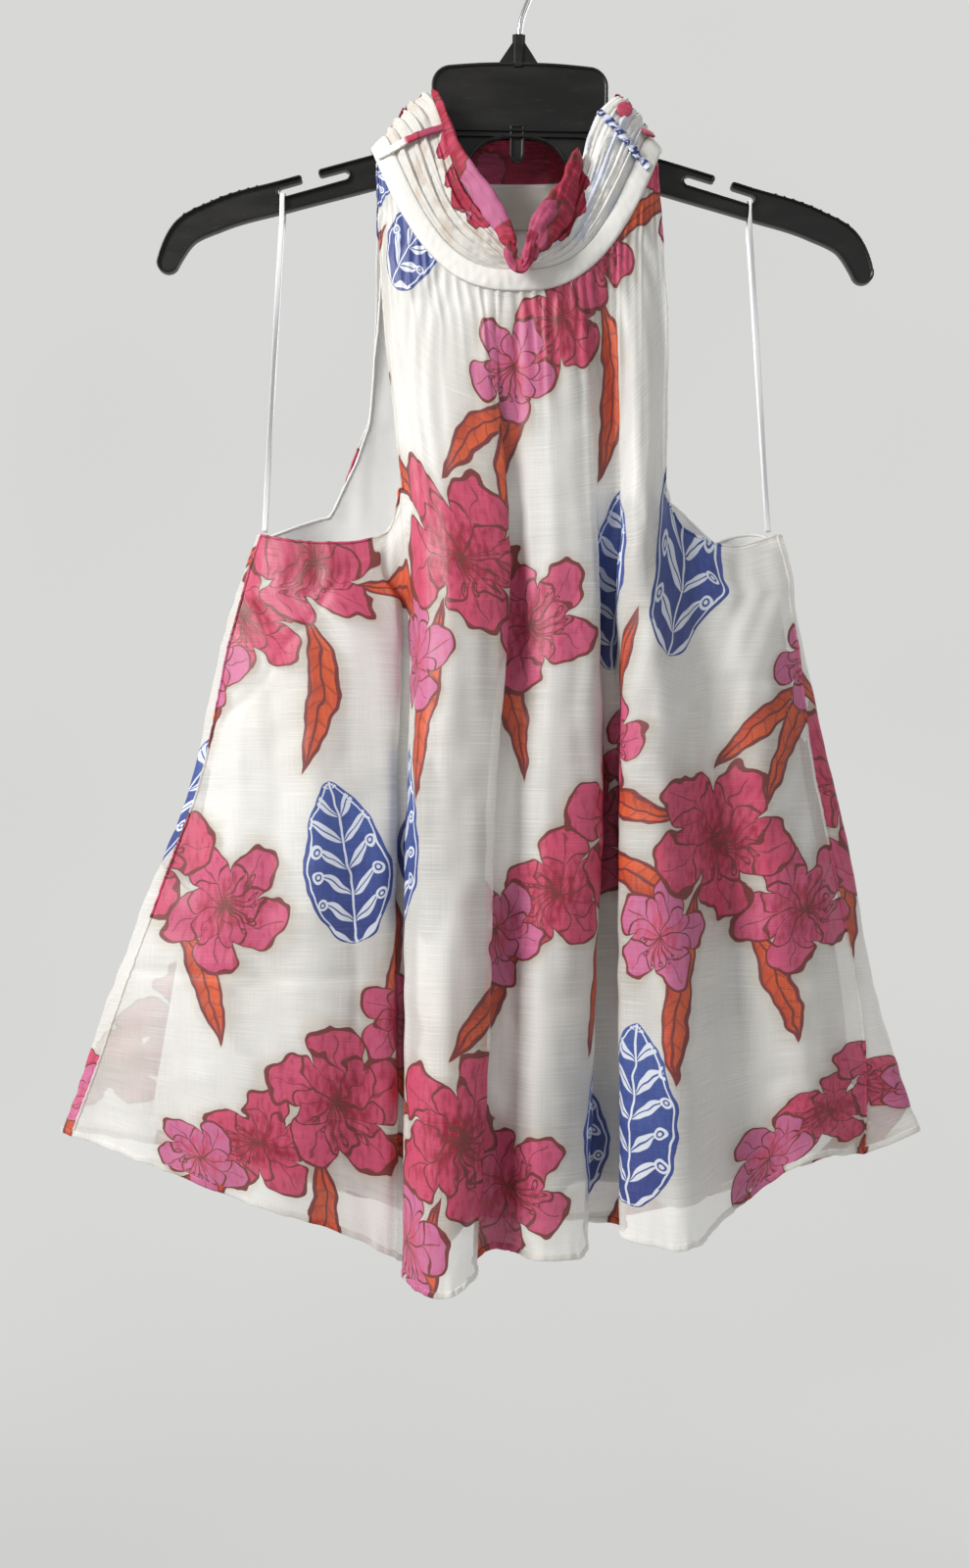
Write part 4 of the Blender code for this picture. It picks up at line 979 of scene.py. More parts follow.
def petal_ground(cut, inks, size, seed=0.0, mauve=1.0, depth=0.0):
    """Petals seen so close that they fill the cloth: cells of crimson, pink and mauve, edged in wine."""
    moved = cut.drift(0.07, 2.0).stretched(9.0, 9.0, 0.0).plus(cut).plus((seed, seed * 0.7, 0.0))
    cells = {"Vector": moved, "Scale": 1.0 / size}
    flat = {"voronoi_dimensions": "2D"}
    edges = moved.node("ShaderNodeTexVoronoi", {**flat, "feature": "DISTANCE_TO_EDGE"}, cells)
    pick, other = moved.node("ShaderNodeTexVoronoi", flat, cells, 1).parts()
    tone = moved.stretched(0.02, 0.3).noise(1.0, 2.0)
    colour = (tone * 0.7 + (0.15 - depth)).step(0.3, 0.7).colour(inks["crimson"], inks["pink"])
    if mauve:
        colour = (pick.step(0.6, 0.66) * mauve).colour(colour, inks["mauve"])
    colour = (other.step(0.62, 0.7) * 0.7).colour(colour, inks["crimson"])
    wavy = (cut.noise(0.12, 1.0) * 40.0).of("SINE")
    lines = abs(wavy).step(0.16, 0.05) * cut.noise(0.03, 1.0).step(0.5, 0.58)
    return edges.step(0.05, 0.025).most(lines * 0.7).colour(colour, inks["wine"])


def edge_bloom(cut, petals, inks, first, last, depth, ground):
    """Petals along a collar's inner edge, between two places of its run, with a scalloped wine edge.

    Their depth from the edge is a half sine of the run, with scallops that are a sine of it.
    """
    drift = cut.drift(0.09, 2.0).stretched(7.0, 5.0, 0.0)
    u, v = drift.plus(cut).parts()
    share = ((u - 3.5 - first) / (last - first)).least(1.0).most(0.0)
    scallops = abs((u * 0.14).of("SINE")) * 4.6
    arch = (share * math.pi).of("SINE") ** 0.5 * depth
    room = arch + scallops * share.step(0.0, 0.1) * share.step(1.0, 0.9) + 2.0 - v
    inside = room.step(-0.2, 0.3) * share.step(0.0, 0.02) * share.step(1.0, 0.98)
    return inside.colour(ground, room.step(1.5, 1.0).colour(petals, inks["wine"]))


def roll_ground(cut, inks):
    """The left roll: crimson petals above, and one mauve petal with a wine edge below."""
    red = petal_ground(cut, inks, 24.0, 5.0, 0.0, 0.08)
    u, v = cut.parts()
    edge = v + u * 0.9 + (cut.noise(0.06, 1.0) - 0.5) * 26.0 - 58.0
    vein = abs((u * 0.5 + cut.noise(0.05, 1.0) * 4.0).wrap(2.6)).step(0.16, 0.06)
    vein = vein * cut.noise(0.04, 1.0).step(0.46, 0.54)
    mauve = (vein * 0.6).colour(mix_inks(inks["mauve"], inks["wine"], 0.25), inks["wine"])
    both = abs(edge - 1.2).step(1.2, 0.9).colour(edge.step(0.0, 0.4).colour(red, mauve), inks["wine"])
    return (v - 104.0).step(-1.0, 1.0).colour(both, red)


def band_ground(cut, inks):
    """Cream outside, and petals where the band turns over to the inside of the neck."""
    # painted shade: the band's cream grounds are greyed a little
    light, deep = with_painted_shade(inks["cream"], 0.12), with_painted_shade(inks["shade"], 0.12)
    ground = cut.noise(0.02, 3.0).step(0.35, 0.8).colour(light, deep)
    return cut.parts()[1].step(12.6, 13.0).colour(ground, petal_ground(cut, inks, 28.0, 9.0, 0.3, 0.1))


def left_ground(cut, inks):
    """Cream pleats, with mauve and crimson petals along their inner edge and at the shoulder."""
    shadow = cut.stretched(0.05, 0.09).noise(1.0, 2.0).step(0.45, 0.75) * 0.7
    # painted shade: the pleats' blush and grey grounds are greyed
    blush = with_painted_shade(mix_inks(inks["halo"], inks["mauve"], 0.12), 0.3)
    petals = petal_ground(cut, inks, 21.0, 40.0, 1.0)
    ground = shadow.colour(with_painted_shade(inks["shade"], 0.38), blush)
    ground = edge_bloom(cut, petals, inks, -92.0, -24.0, 12.5, ground)
    return edge_bloom(cut, petals, inks, -120.0, -98.0, 8.0, ground)


def right_ground(cut, inks):
    """White pleats with washes of pale blue-grey, and crimson petals along their inner edge."""
    wash = cut.stretched(0.03, 0.08).noise(1.0, 3.0).step(0.45, 0.72)
    fleck = cut.stretched(0.10, 0.22).noise(1.0, 2.0).step(0.62, 0.74) * 0.5
    # painted shade: the pleats' cream ground is greyed
    ground = (wash * 0.95).colour(with_painted_shade(inks["cream"], 0.22), mix_inks(inks["pale"], inks["navy"], 0.16))
    ground = fleck.colour(ground, mix_inks(inks["pale"], inks["navy"], 0.35))
    return edge_bloom(cut, petal_ground(cut, inks, 26.0, 12.0, 0.0), inks, 14.0, 82.0, 14.0, ground)


def carrier_ground(cut, inks):
    """Cream at the outer end, turning to mauve and crimson towards the neck."""
    run = cut.parts()[0] + cut.noise(0.1, 1.0) * 6.0
    return run.step(20.0, 23.0).colour(inks["cream"], petal_ground(cut, inks, 14.0, 12.0))


def twist_ground(cut, inks):
    """Navy with white leaf shapes, which the twist turns into slanting strokes."""
    leaves = cut.stretched(0.2, 0.26).noise(1.0, 1.0)
    edges = abs((leaves * 4.0).wrap(1.0)).step(0.14, 0.08) * 0.8
    return leaves.step(0.54, 0.57).most(edges).colour(inks["navy"], inks["pale"])


def plain_ground(ink):
    """A ground of one ink, clouded with a slightly darker one."""
    return lambda cut, inks: cut.noise(0.02, 3.0).step(0.35, 0.8).colour(inks[ink], inks[ink + " dim"])


def cloth_finish(name, inks, roughness, ground, bump=0.05, slub=1.0):
    """A woven finish: ground paints it from its cut, and the weave gives its tone and relief."""
    finish = Finish(name, roughness, Specular_IOR_Level=0.3)
    cut = finish.cut()
    tone, height = weave(cut, slub)
    dull = (height * 0.2 + (roughness - 0.1)).least(1.0)
    return finish.made(toned(ground(cut, inks), tone), dull, height, bump)


def cover_finish(name, inks):
    """The buttons' cloth, pulled tight: a fine weave, with painted shade where it turns under the rim."""
    finish = Finish(name, 0.55, Sheen_Weight=0.2, Specular_IOR_Level=0.4)
    cut = finish.cut()
    across, down = cut.stretched(0.6, 4.0).noise(1.0, 2.0), cut.stretched(4.0, 0.6).noise(1.0, 2.0)
    light, deep = (mix_inks(inks["pink"], inks["crimson"], share) for share in (0.35, 0.7))
    ground = cut.noise(0.25, 2.0).step(0.3, 0.7).colour(light, deep)
    # painted shade: darker crimson where the cover turns under the rim
    ground = cut.parts()[1].step(3.1, 3.9).colour(ground, mix_inks(inks["crimson"], inks["wine"], 0.6))
    height = across * 0.5 + down * 0.5
    return finish.made(toned(ground, (height - 0.5) * 0.3), height * 0.2 + 0.45, height, 0.05)


def satin_finish(name, inks):
    """Satin ribbon: fine lengthwise threads that keep a soft gloss, with painted shade where they lie low."""
    finish = Finish(name, 0.35, Sheen_Weight=0.2, Specular_IOR_Level=0.6)
    threads = finish.cut().stretched(9.0, 0.12).noise(1.0, 1.0)
    # painted shade: the ribbon is greyer where its threads lie low
    thread_shade = mix_inks(inks["ribbon"], (0.5, 0.5, 0.52, 1.0), 0.15)
    colour = threads.step(0.3, 0.7).colour(thread_shade, inks["ribbon"])
    return finish.made(colour, threads * 0.2 + 0.28, threads, 0.02)


def plastic_finish(name, inks):
    """Moulded black plastic: a fine grain, faint flow marks, scuffs and a little dust."""
    finish = Finish(name, 0.4, Specular_IOR_Level=0.5)
    place = finish.place()
    grain = place.solid_noise(3.0, 3.0)
    flow = place.stretched(0.02, 0.05, 0.09).solid_noise(1.0)
    scuffs = place.stretched(0.12, 0.12, 0.9).solid_noise(1.0, 3.0).step(0.62, 0.72)
    dust = place.solid_noise(0.7, 4.0, 0.7).step(0.66, 0.74)
    worn = mix_inks(inks["plastic"], (0.03, 0.028, 0.026, 1.0), 0.5)
    colour = (flow.step(0.4, 0.7) * 0.5 + scuffs * 0.4).colour(inks["plastic"], worn)
    colour = (dust * 0.06).colour(colour, (0.3, 0.3, 0.3, 1.0))
    dull = grain * 0.14 + flow * 0.12 + scuffs * 0.12 + 0.26
    return finish.made(colour, dull, grain * 0.6 + flow * 0.8, 0.04)


def wire_finish(name, inks):
    """Bright plated wire, with faint drawing marks along it."""
    finish = Finish(name, 0.12, Metallic=1.0)
    place = finish.place()
    marks = place.stretched(1.6, 1.6, 0.08).solid_noise(1.0)
    haze = place.solid_noise(0.12)
    dulls = mix_inks(inks["wire"], (0.4, 0.4, 0.4, 1.0), 0.3)
    colour = haze.step(0.3, 0.8).colour(inks["wire"], dulls)
    return finish.made(colour, marks * 0.12 + haze * 0.1 + 0.05, marks, 0.01)


WOVEN = {
    # finish          roughness, ground, bump in mm, slub
    "white lining": (0.8, plain_ground("lining"), 0.06, 0.5),
    "bare label": (0.8, plain_ground("label"), 0.08, 0.6),
    "crimson petals": (0.68, lambda cut, inks: petal_ground(cut, inks, 26.0, 0.0, 0.35, 0.1)),
    "left roll": (0.66, roll_ground),
    "lined band": (0.76, band_ground, 0.07),
    "left pleats": (0.74, left_ground),
    "right pleats": (0.74, right_ground),
    "left carrier": (0.72, carrier_ground),
    "navy twist": (0.72, twist_ground),
}
OTHERS = {
    "pink cover": cover_finish,
    "satin ribbon": satin_finish,
    "black plastic": plastic_finish,
    "bright wire": wire_finish,
}


def inks_of(settings):
    """The blouse's colours as the shaders take them, and a dimmer one of each white ground."""
    names = [name for name in type(settings).__annotations__ if name not in SIZES]
    inks = {name: paint(getattr(settings, name)) for name in names}
    for name in ("lining", "label"):
        inks[name + " dim"] = mix_inks(inks[name], paint([c * 0.86 for c in getattr(settings, name)]), 0.6)
    return inks


def finish_named(name):
    """The finish of that name, made the first time it is asked for."""
    known = bpy.data.materials.get(name)
    if known:
        return known
    settings = bpy.context.scene.blouse
    inks = inks_of(settings)
    if name.startswith("printed voile"):
        return printed_finish(name, name.split()[2:], settings.sheerness, inks)
    if name in OTHERS:
        return OTHERS[name](name, inks)
    return cloth_finish(name, inks, *WOVEN[name])


# ---- body panels

# Fine columns to each coarse one, columns that ease to a seam, how far down the rows lie closest together,
# and the millimetres between the lowest ones
SPLIT = 6
SEAM_EASE = 8
GATHERED = 54
ROW_STEP = 3.0
LINING_HEM = 6.0
PANELS = {
    # panel         fold lines, whether it is a back, inset, seed, creases, armholes
    "front": (FRONT_FOLDS, False, 0.0, 100, FRONT_CREASES, {}),
    "back": (BACK_FOLDS, True, 0.0, 200, BACK_CREASES, BACK_ARMHOLES),
    "front_lining": (FRONT_LINING_FOLDS, False, LINING_INSET, 300, (), {}),
    "back_lining": (BACK_LINING_FOLDS, True, LINING_INSET, 400, (), BACK_LINING_ARMHOLES),
}
# Where the print's repeat starts on each panel, in millimetres
PRINT_SHIFTS = {"front": (125.0, -75.0), "back": (150.0, 200.0)}


def body_rows():
    """Distances below the neck of the rows of points: close together in the gathers, wider below."""
    arm, hem = LEVEL_KNOTS["arm"], LEVEL_KNOTS["hem"]
    yoke = np.arange(0, GATHERED, 1.5), np.arange(GATHERED, arm, 2.9)
    return np.concatenate([*yoke, np.linspace(arm, hem, 138)])


def crease_depths(points, creases):
    """How deep each point lies in the storage creases: soft troughs along straight, wavering lines."""
    x, z = points[..., 0], points[..., 2]
    total = np.zeros_like(x)
    for index, (x0, z0, x1, z1, depth, half) in enumerate(creases):
        dx, dz = x1 - x0, z1 - z0
        length = math.hypot(dx, dz)
        along = ((x - x0) * dx + (z - z0) * dz) / length
        aside = ((x - x0) * dz - (z - z0) * dx) / length + 1.6 * waver(90 + index, 70.0, along)
        ends = np.clip(along / 18.0, 0, 1) * np.clip((length - along) / 18.0, 0, 1)
        trough = depth * ends * np.exp(-((aside / half) ** 2))
        total = total + trough * (1.15 + 0.4 * waver(70 + index, 40.0, along))
    return total


def gather_heights(phase, down, depth, fade, aside, seed):
    """Gathers below the neckband: one ridge to each coarse column, each of its own height and length.

    A ridge is a cosine of the phase, sharpened by its second harmonic, that dies away down the panel.
    """
    height = 1.0 + 0.45 * waver(seed, 2.3, phase)
    length = fade * (1.25 + 0.6 * waver(seed + 1, 3.1, phase))
    drift = 0.12 * waver(seed + 2, (4.0, 60.0), phase, down)
    turn = 2 * np.pi * (phase + 0.1 * np.sin(1.7 * phase) + drift)
    ridge = np.cos(turn) + 0.25 * np.cos(2 * turn) + 0.18 * np.cos(3 * turn + 1.0)
    near = np.exp(-down / np.maximum(length, 8.0)) * (1 - 0.6 * np.exp(-down / 4.0))
    return depth * height * ridge * near * (1 - 0.6 * np.clip(np.abs(aside), 0, 1) ** 2)


def read_grid(grid, rows, columns):
    """A grid's values between its points, at fractional rows and columns."""
    top = np.clip(rows.astype(int), 0, grid.shape[0] - 2)
    near = np.clip(columns.astype(int), 0, grid.shape[1] - 2)
    f, g = (rows - top)[..., None], (columns - near)[..., None]
    upper = grid[top, near] * (1 - g) + grid[top, near + 1] * g
    lower = grid[top + 1, near] * (1 - g) + grid[top + 1, near + 1] * g
    return upper * (1 - f) + lower * f


def cut_armhole(points, cut, down, marks, left, table):
    """(points, cut) with one armhole's edge moved over the cloth as its table says.

    Each point follows the edge point nearest to it, by a share that eases to nothing 70 mm away.
    """
    arm, first, last = marks
    edge, way = (first, 1) if left else (last, -1)
    rows, columns = np.indices(points.shape[:2])
    run = cut[arm, :, 0]
    inside = (columns - edge) * way >= 0
    edge_row = np.minimum(rows, arm)
    edge_column = np.where(inside, edge, columns)
    along = np.abs(run[edge_column] - run[edge]) - (down[arm] - down[edge_row])
    places, inwards, downwards = np.array(table, float).T
    drawn, lowered = np.interp(along, places, inwards), np.interp(along, places, downwards)
    away = np.hypot(down[rows] - down[edge_row], run[columns] - run[edge_column])
    share = np.clip(away / 70.0, 0, 1)
    ease = 1 - share * share * (3 - 2 * share)
    width = np.abs(cut[:, edge + SEAM_EASE * way, 0] - cut[:, edge, 0])[:, None] / SEAM_EASE
    moved = columns + way * drawn * ease / width
    fallen = rows + lowered * ease / ROW_STEP
    return read_grid(points, fallen, moved), read_grid(cut, fallen, moved)


def panel_cloth(settings, folds, back, inset, seed, creases, armholes):
    """(points, cut, faces to keep, rows and columns of the armhole's corners) of a body panel."""
    panel = Panel(folds, back, inset, 0.0 if inset else settings.gather_depth / MM)
    across, phase = panel.columns_at(SPLIT)
    down = body_rows()
    points = panel.grid(across, down)
    first, last = sum(panel.columns[: panel.first]) * SPLIT, sum(panel.columns[: panel.last]) * SPLIT
    arm = int(np.searchsorted(down, LEVEL_KNOTS["arm"] - 0.01))
    middle = int(np.argmin(np.abs(points[0, first : last + 1, 0]))) + first
    run = run_along(points, 1)
    u = (run - run[:, middle : middle + 1]) * (1 + settings.fullness * np.exp(-down / 42.0))[:, None]
    v = np.broadcast_to(run_along(points[:, middle], 0)[:, None], u.shape)
    ph, dn = np.meshgrid(phase, down)
    yoke = panel.knots[panel.first], panel.knots[panel.last]
    aside = (2 * across - yoke[0] - yoke[1]) / (yoke[1] - yoke[0])
    away = 0.55 * waver(seed + 5, (17.0, 330.0), u, v) * np.exp(-dn / 260.0) * np.clip(dn / 25.0, 0, 1)
    away = away + 1.1 * waver(seed + 6, (52.0, 210.0), u, v) * np.clip(dn / 120.0 - 0.4, 0, 1)
    away = away + 0.28 * waver(seed + 7, (21.0, 30.0), u, v) * np.clip(dn / 100.0, 0, 1)
    if inset:
        away = away * 0.6
    else:
        away = away + gather_heights(ph, dn, panel.gather, settings.gather_fade / MM, aside[None], seed)
        away = away - crease_depths(points, creases)
        near_hem = np.exp(-(LEVEL_KNOTS["hem"] - dn) / 9.0)
        away = away + 0.35 * near_hem * waver(seed + 8, (6.5, 60.0), u, v)
    points = points + facing(points, panel.side) * away[..., None]
    cut = np.stack([u, v], -1)
    for side in armholes:
        points, cut = cut_armhole(points, cut, down, (arm, first, last), side == "left", armholes[side])
    keep = np.ones((len(down) - 1, len(across) - 1), bool)
    keep[:arm, :first] = False
    keep[:arm, last:] = False
    return points, cut, keep, (arm, first, last)


def sewn(front, back):
    """Both panels with their side edges brought to the line midway between them."""
    share = np.linspace(1, 0, SEAM_EASE)[None, :, None]
    near = (front[:, :1] + back[:, :1]) / 2
    far = (front[:, -1:] + back[:, -1:]) / 2
    front, back = front.copy(), back.copy()
    for points in (front, back):
        points[:, :SEAM_EASE] += (near - points[:, :1]) * share
        points[:, -SEAM_EASE:] += (far - points[:, -1:]) * share[:, ::-1]
    return front, back


def settle(piece, node):
    """The piece rides on the body and stands for its node."""
    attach(piece, "root")
    if node:
        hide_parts(*([node] if isinstance(node, str) else node))


def hem_piece(name, points, cut, side, finish, width):
    """The narrow hem: a flattened oval carried along the panel's lower edge, puckered by its stitches."""
    edge, above = points[-1], points[-4]
    down = unit(edge - above)
    out = facing(points, side)[-1]
    line = edge - down * (width / 2 - 0.6)
    along = run_along(edge, 0)
    outwards, downwards = 0.25 * waver(41, 5.2, along), 0.35 * waver(42, 23.0, along)
    line = line + out * outwards[:, None] + down * downwards[:, None]
    turn = full_turn(12)
    tall, thick = width / 2 * np.cos(turn), 0.75 * np.sign(np.sin(turn)) * np.abs(np.sin(turn)) ** 0.7
    stitched = 1 - 0.35 * np.exp(-(((np.cos(turn) + 0.55) / 0.18) ** 2))
    puckers = 1 + 0.3 * waver(43, 3.4, along)[:, None]
    rings = line[:, None] + down[:, None] * tall[None, :, None]
    rings = rings + out[:, None] * (thick * stitched * puckers)[..., None]
    if side > 0:
        rings = rings[:, ::-1]
        tall = tall[::-1]
    return ring_solid(name, rings, finish, cut[-1, :, None] + laid_flat(0, tall))


def armhole_piece(name, points, cut, marks, left, side, finish):
    """The turned armhole edge: a small oval carried down the yoke's side and under the arm."""
    arm, first, last = marks
    edge, beyond = (first, slice(first - 1, None, -1)) if left else (last, slice(last + 1, None))
    grids = (points, facing(points, side), cut)
    line, face, flat = (np.concatenate([grid[: arm + 1, edge], grid[arm, beyond]]) for grid in grids)
    line, face, flat, run = evenly(line, 1.6, face, flat)
    wide, thick = 0.85 + 0.12 * waver(51, 9.0, run), 0.5 + 0.08 * waver(52, 5.0, run)
    rings = carried_oval(line, unit(face), wide, thick, 8, 0.8)
    uv = flat[:, None] + np.cos(full_turn(8))[None, :, None] * 0.8
    return ring_solid(name, rings, finish, uv)


def seam_piece(name, edge, cut, finish):
    """The side seam, a fine raised line where front and back are sewn together."""
    rings = carried_oval(edge, FRONTWARD, 0.9, 0.75, 8)
    rings = rings + (0.18 * waver(61, 6.0, run_along(edge, 0)))[:, None, None] * np.array([1.0, 0, 0])
    return ring_solid(name, rings, finish, laid_flat(cut[:, :1] + np.linspace(-1, 1, 8), cut[:, 1:]))


def lay_panels(settings, names, finish, edge, hem, printed):
    """Makes a front and a back panel sewn at the sides, with hems and armhole edges.

    Returns the front's points, its cut and the row of its armhole's corners.
    """
    grids = [panel_cloth(settings, *PANELS[name]) for name in names]
    shapes = sewn(grids[0][0], grids[1][0])
    for name, side, points, (_, cut, keep, marks) in zip(names, (-1.0, 1.0), shapes, grids):
        pieces = [
            grid_piece(name + "_cloth", points, cut, finish, keep, turned=side > 0),
            hem_piece(name + "_hem", points, cut, side, finish, hem),
            armhole_piece(f"{name}_{edge}_left", points, cut, marks, True, side, finish),
            armhole_piece(f"{name}_{edge}_right", points, cut, marks, False, side, finish),
        ]
        for piece in pieces:
            settle(piece, name if piece is pieces[0] else None)
            if printed:
                lay_print(piece, PRINT_SHIFTS[name])
        band = "neckband_" + name.split("_")[0]
    return shapes[0], grids[0][1], grids[0][3][0]


class BLOUSE_OT_shell(bpy.types.Operator):
    """Make the printed front and back with their hems, armhole edges and side seams"""

    bl_idname = "blouse.shell"
    bl_label = "Front and back"

    def execute(self, context):
        settings, names = context.scene.blouse, ("front", "back")
        finish, slot, hem = finish_named("printed voile"), "printed_cloth", settings.hem_width / MM
        points, cut, arm = lay_panels(settings, names, finish, "armhole", hem, True)
        for name, column in (("side_seam_left", 0), ("side_seam_right", -1)):
            seam = seam_piece(name, points[arm:, column], cut[arm:, column], finish)
            settle(seam, None)
            lay_print(seam, PRINT_SHIFTS["front"])
        return {"FINISHED"}


class BLOUSE_OT_lining(bpy.types.Operator):
    """Make the white lining that hangs inside the shell"""

    bl_idname = "blouse.lining"
    bl_label = "Lining"

    def execute(self, context):
        names, finish = ("front_lining", "back_lining"), finish_named("white lining")
        lay_panels(context.scene.blouse, names, finish, "edge", LINING_HEM, False)
        return {"FINISHED"}


# ---- collar

# The cut's distance from the band's outer face to its inner one
INNER_SHIFT = 14
STRIPS = {
    # strip         first and last angle, columns, rows, share of the depth, seed, finish, flat size, slot
    "collar_left": (-89.5, -2.0, 170, 110, 1.0, 11, "left pleats", (0.15, 0.034), "printed_cloth"),
    "collar_right": (2.0, 89.5, 170, 110, 1.0, 14, "right pleats", (0.145, 0.033), "printed_cloth"),
    "collar_back": (90.5, 269.5, 190, 100, 0.6, 17, "crimson petals", (0.19, 0.029), "crimson_cloth"),
}


def band_piece(name, start, end, finish):
    """The plain band between body and pleats: a flattened closed strip carried round the neck.

    Its outer face bows out by half a sine, and its edges turn round to an inner face.
    """
    angle = np.linspace(start, end, 181)
    low = neck_ring(angle)
    up = unit(collar_edge(angle) - low)
    out = collar_normal(angle)
    run = run_along(low, 0)[:, None]
    share = np.concatenate([np.linspace(0, 1, 12), np.linspace(1, 0, 8)[1:-1]])
    inner = np.concatenate([np.zeros(12), np.ones(6)])
    bow = np.where(inner > 0, -0.75, 0.9 + 0.9 * np.sin(np.pi * share) ** 0.7)
    bow[0] = bow[11] = 0.55
    rise = (BAND_WIDTH + 1.5) * share - 0.9
    ripple = 0.16 * waver(21, (7.0, 9.0), run, rise[None]) + 0.12 * waver(22, (3.6, 12.0), run, rise[None])
    ripple = ripple * (0.4 + 0.8 * (1 - share)[None])
    rings = low[:, None] + up[:, None] * rise[None, :, None] + out[:, None] * (bow[None] + ripple)[..., None]
    return ring_solid(name, rings, finish, laid_flat(run, rise[None] + inner * INNER_SHIFT))


def pleat_cloth(start, end, columns, rows, depth, seed):
    """(points, cut) of a stretch of the collar, from its upper edge down to the band.

    The cut's u is the run from the collar's end nearest to the front centre, or from the back's own end.
    """
    angle, share = np.meshgrid(np.linspace(start, end, columns), np.linspace(1, -0.08, rows))
    inside = np.clip(share * 4, 0, 1) * np.clip((1 - share) * 4, 0, 1)
    wander = 0.045 * waver(seed, (50.0, 0.9), angle, share) * inside
    uneven = depth * np.maximum(1 + 0.45 * waver(seed + 1, (34.0, 0.3), angle, share), 0.2)
    points = collar_surface(angle, share, uneven, wander)
    out = collar_normal(angle)
    soft = 0.35 * waver(seed + 2, (14.0, 0.5), angle, share)
    soft = soft + 0.16 * waver(seed + 3, (5.0, 0.2), angle, share)
    soft = soft + 0.24 * waver(seed + 4, (46.0, 0.075), angle, share)
    points = points + out * (soft * np.clip(share * 6, 0, 1))[..., None]
    run = run_along(neck_ring(angle[0]), 0)
    u = run if end > 91 else np.sign(angle[0]) * np.abs(run - np.interp(0, angle[0], run))
    return points, laid_flat(u, run_along(points, 0))


def thicken(piece, wall):
    """Gives a sheet its wall on the side away from its faces."""
    thick = piece.modifiers.new("wall", "SOLIDIFY")
    thick.thickness = wall * MM
    thick.offset = -1.0


class BLOUSE_OT_collar(bpy.types.Operator):
    """Make the neckband and the pleated collar above it"""

    bl_idname = "blouse.collar"
    bl_label = "Collar and band"

    def execute(self, context):
        depth = context.scene.blouse.pleat_depth / MM
        cream = finish_named("lined band")
        for name, start, end, length in (("front", -89.5, 89.5, 0.25), ("back", 90.5, 269.5, 0.185)):
            band = band_piece("band_" + name, start, end, cream)
            settle(band, "neckband_" + name)
        for name, (start, end, columns, rows, share, seed, finish, flat, slot) in STRIPS.items():
            points, cut = pleat_cloth(start, end, columns, rows, depth * share, seed)
            piece = grid_piece(name + "_pleats", points, cut, finish_named(finish))
            thicken(piece, 0.8)
            settle(piece, name)
        return {"FINISHED"}


def roll_pieces(name, parts, finish, crumple, seed):
    """Soft turned cloth: ovals carried along smooth lines, dented by an uneven field."""
    pieces = []
    turn = full_turn(40)
    for index, stations in enumerate(parts):
        line = smooth_path(stations, 90)
        middle, wide, thick = line[:, :3], line[:, 3], line[:, 4]
        taper = np.clip(np.minimum(np.arange(90), np.arange(90)[::-1]) / 5.0, 0.15, 1) ** 0.5
        out = unit(middle * np.array([1.0, 1.0, 0.0]))
        oval = carried_oval(middle, out, wide * taper, thick * taper, 40, 0.9)
        run = run_along(middle, 0)[:, None]
        aside = np.cos(turn)[None] * wide[:, None]
        back = np.sin(turn)[None] * 3.0
        dent = waver(seed + index, (11.0, 6.0, 5.0), run, aside, back)
        fine = waver(seed + 9 + index, (26.0, 3.2, 4.0), run, aside, back)
        away = unit(oval - oval.mean(1, keepdims=True))
        oval = oval + away * (crumple * (0.9 * dent + 0.6 * fine) * taper[:, None])[..., None]
        own = name + "_loop" * index
        pieces.append(ring_solid(own, oval, finish, laid_flat(aside + 30 * index, run)))
    return pieces


class BLOUSE_OT_rolls(bpy.types.Operator):
    """Make the collar's rolled inner edges and the folded end at the throat"""

    bl_idname = "blouse.rolls"
    bl_label = "Rolled edges"

    def execute(self, context):
        finish = finish_named("crimson petals")
        left = roll_pieces("roll_left", [ROLL_LEFT], finish_named("left roll"), 0.35, 31)[0]
        settle(left, "collar_roll_left")
        right, loop = roll_pieces("roll_right", [ROLL_RIGHT, THROAT_LOOP], finish, 0.8, 35)
        settle(right, "collar_roll_right")
        settle(loop, None)
        return {"FINISHED"}


def carrier_line(sizes, clear, count):
    """The middle line of a carrier lying on the pleats, and the way it faces."""
    share = np.linspace(sizes["top"], -0.3, count)
    middle = sizes["low_angle"] + (sizes["high_angle"] - sizes["low_angle"]) * share
    face = collar_normal(middle)
    return collar_surface(middle, share, np.zeros(count)) + clear * face, face


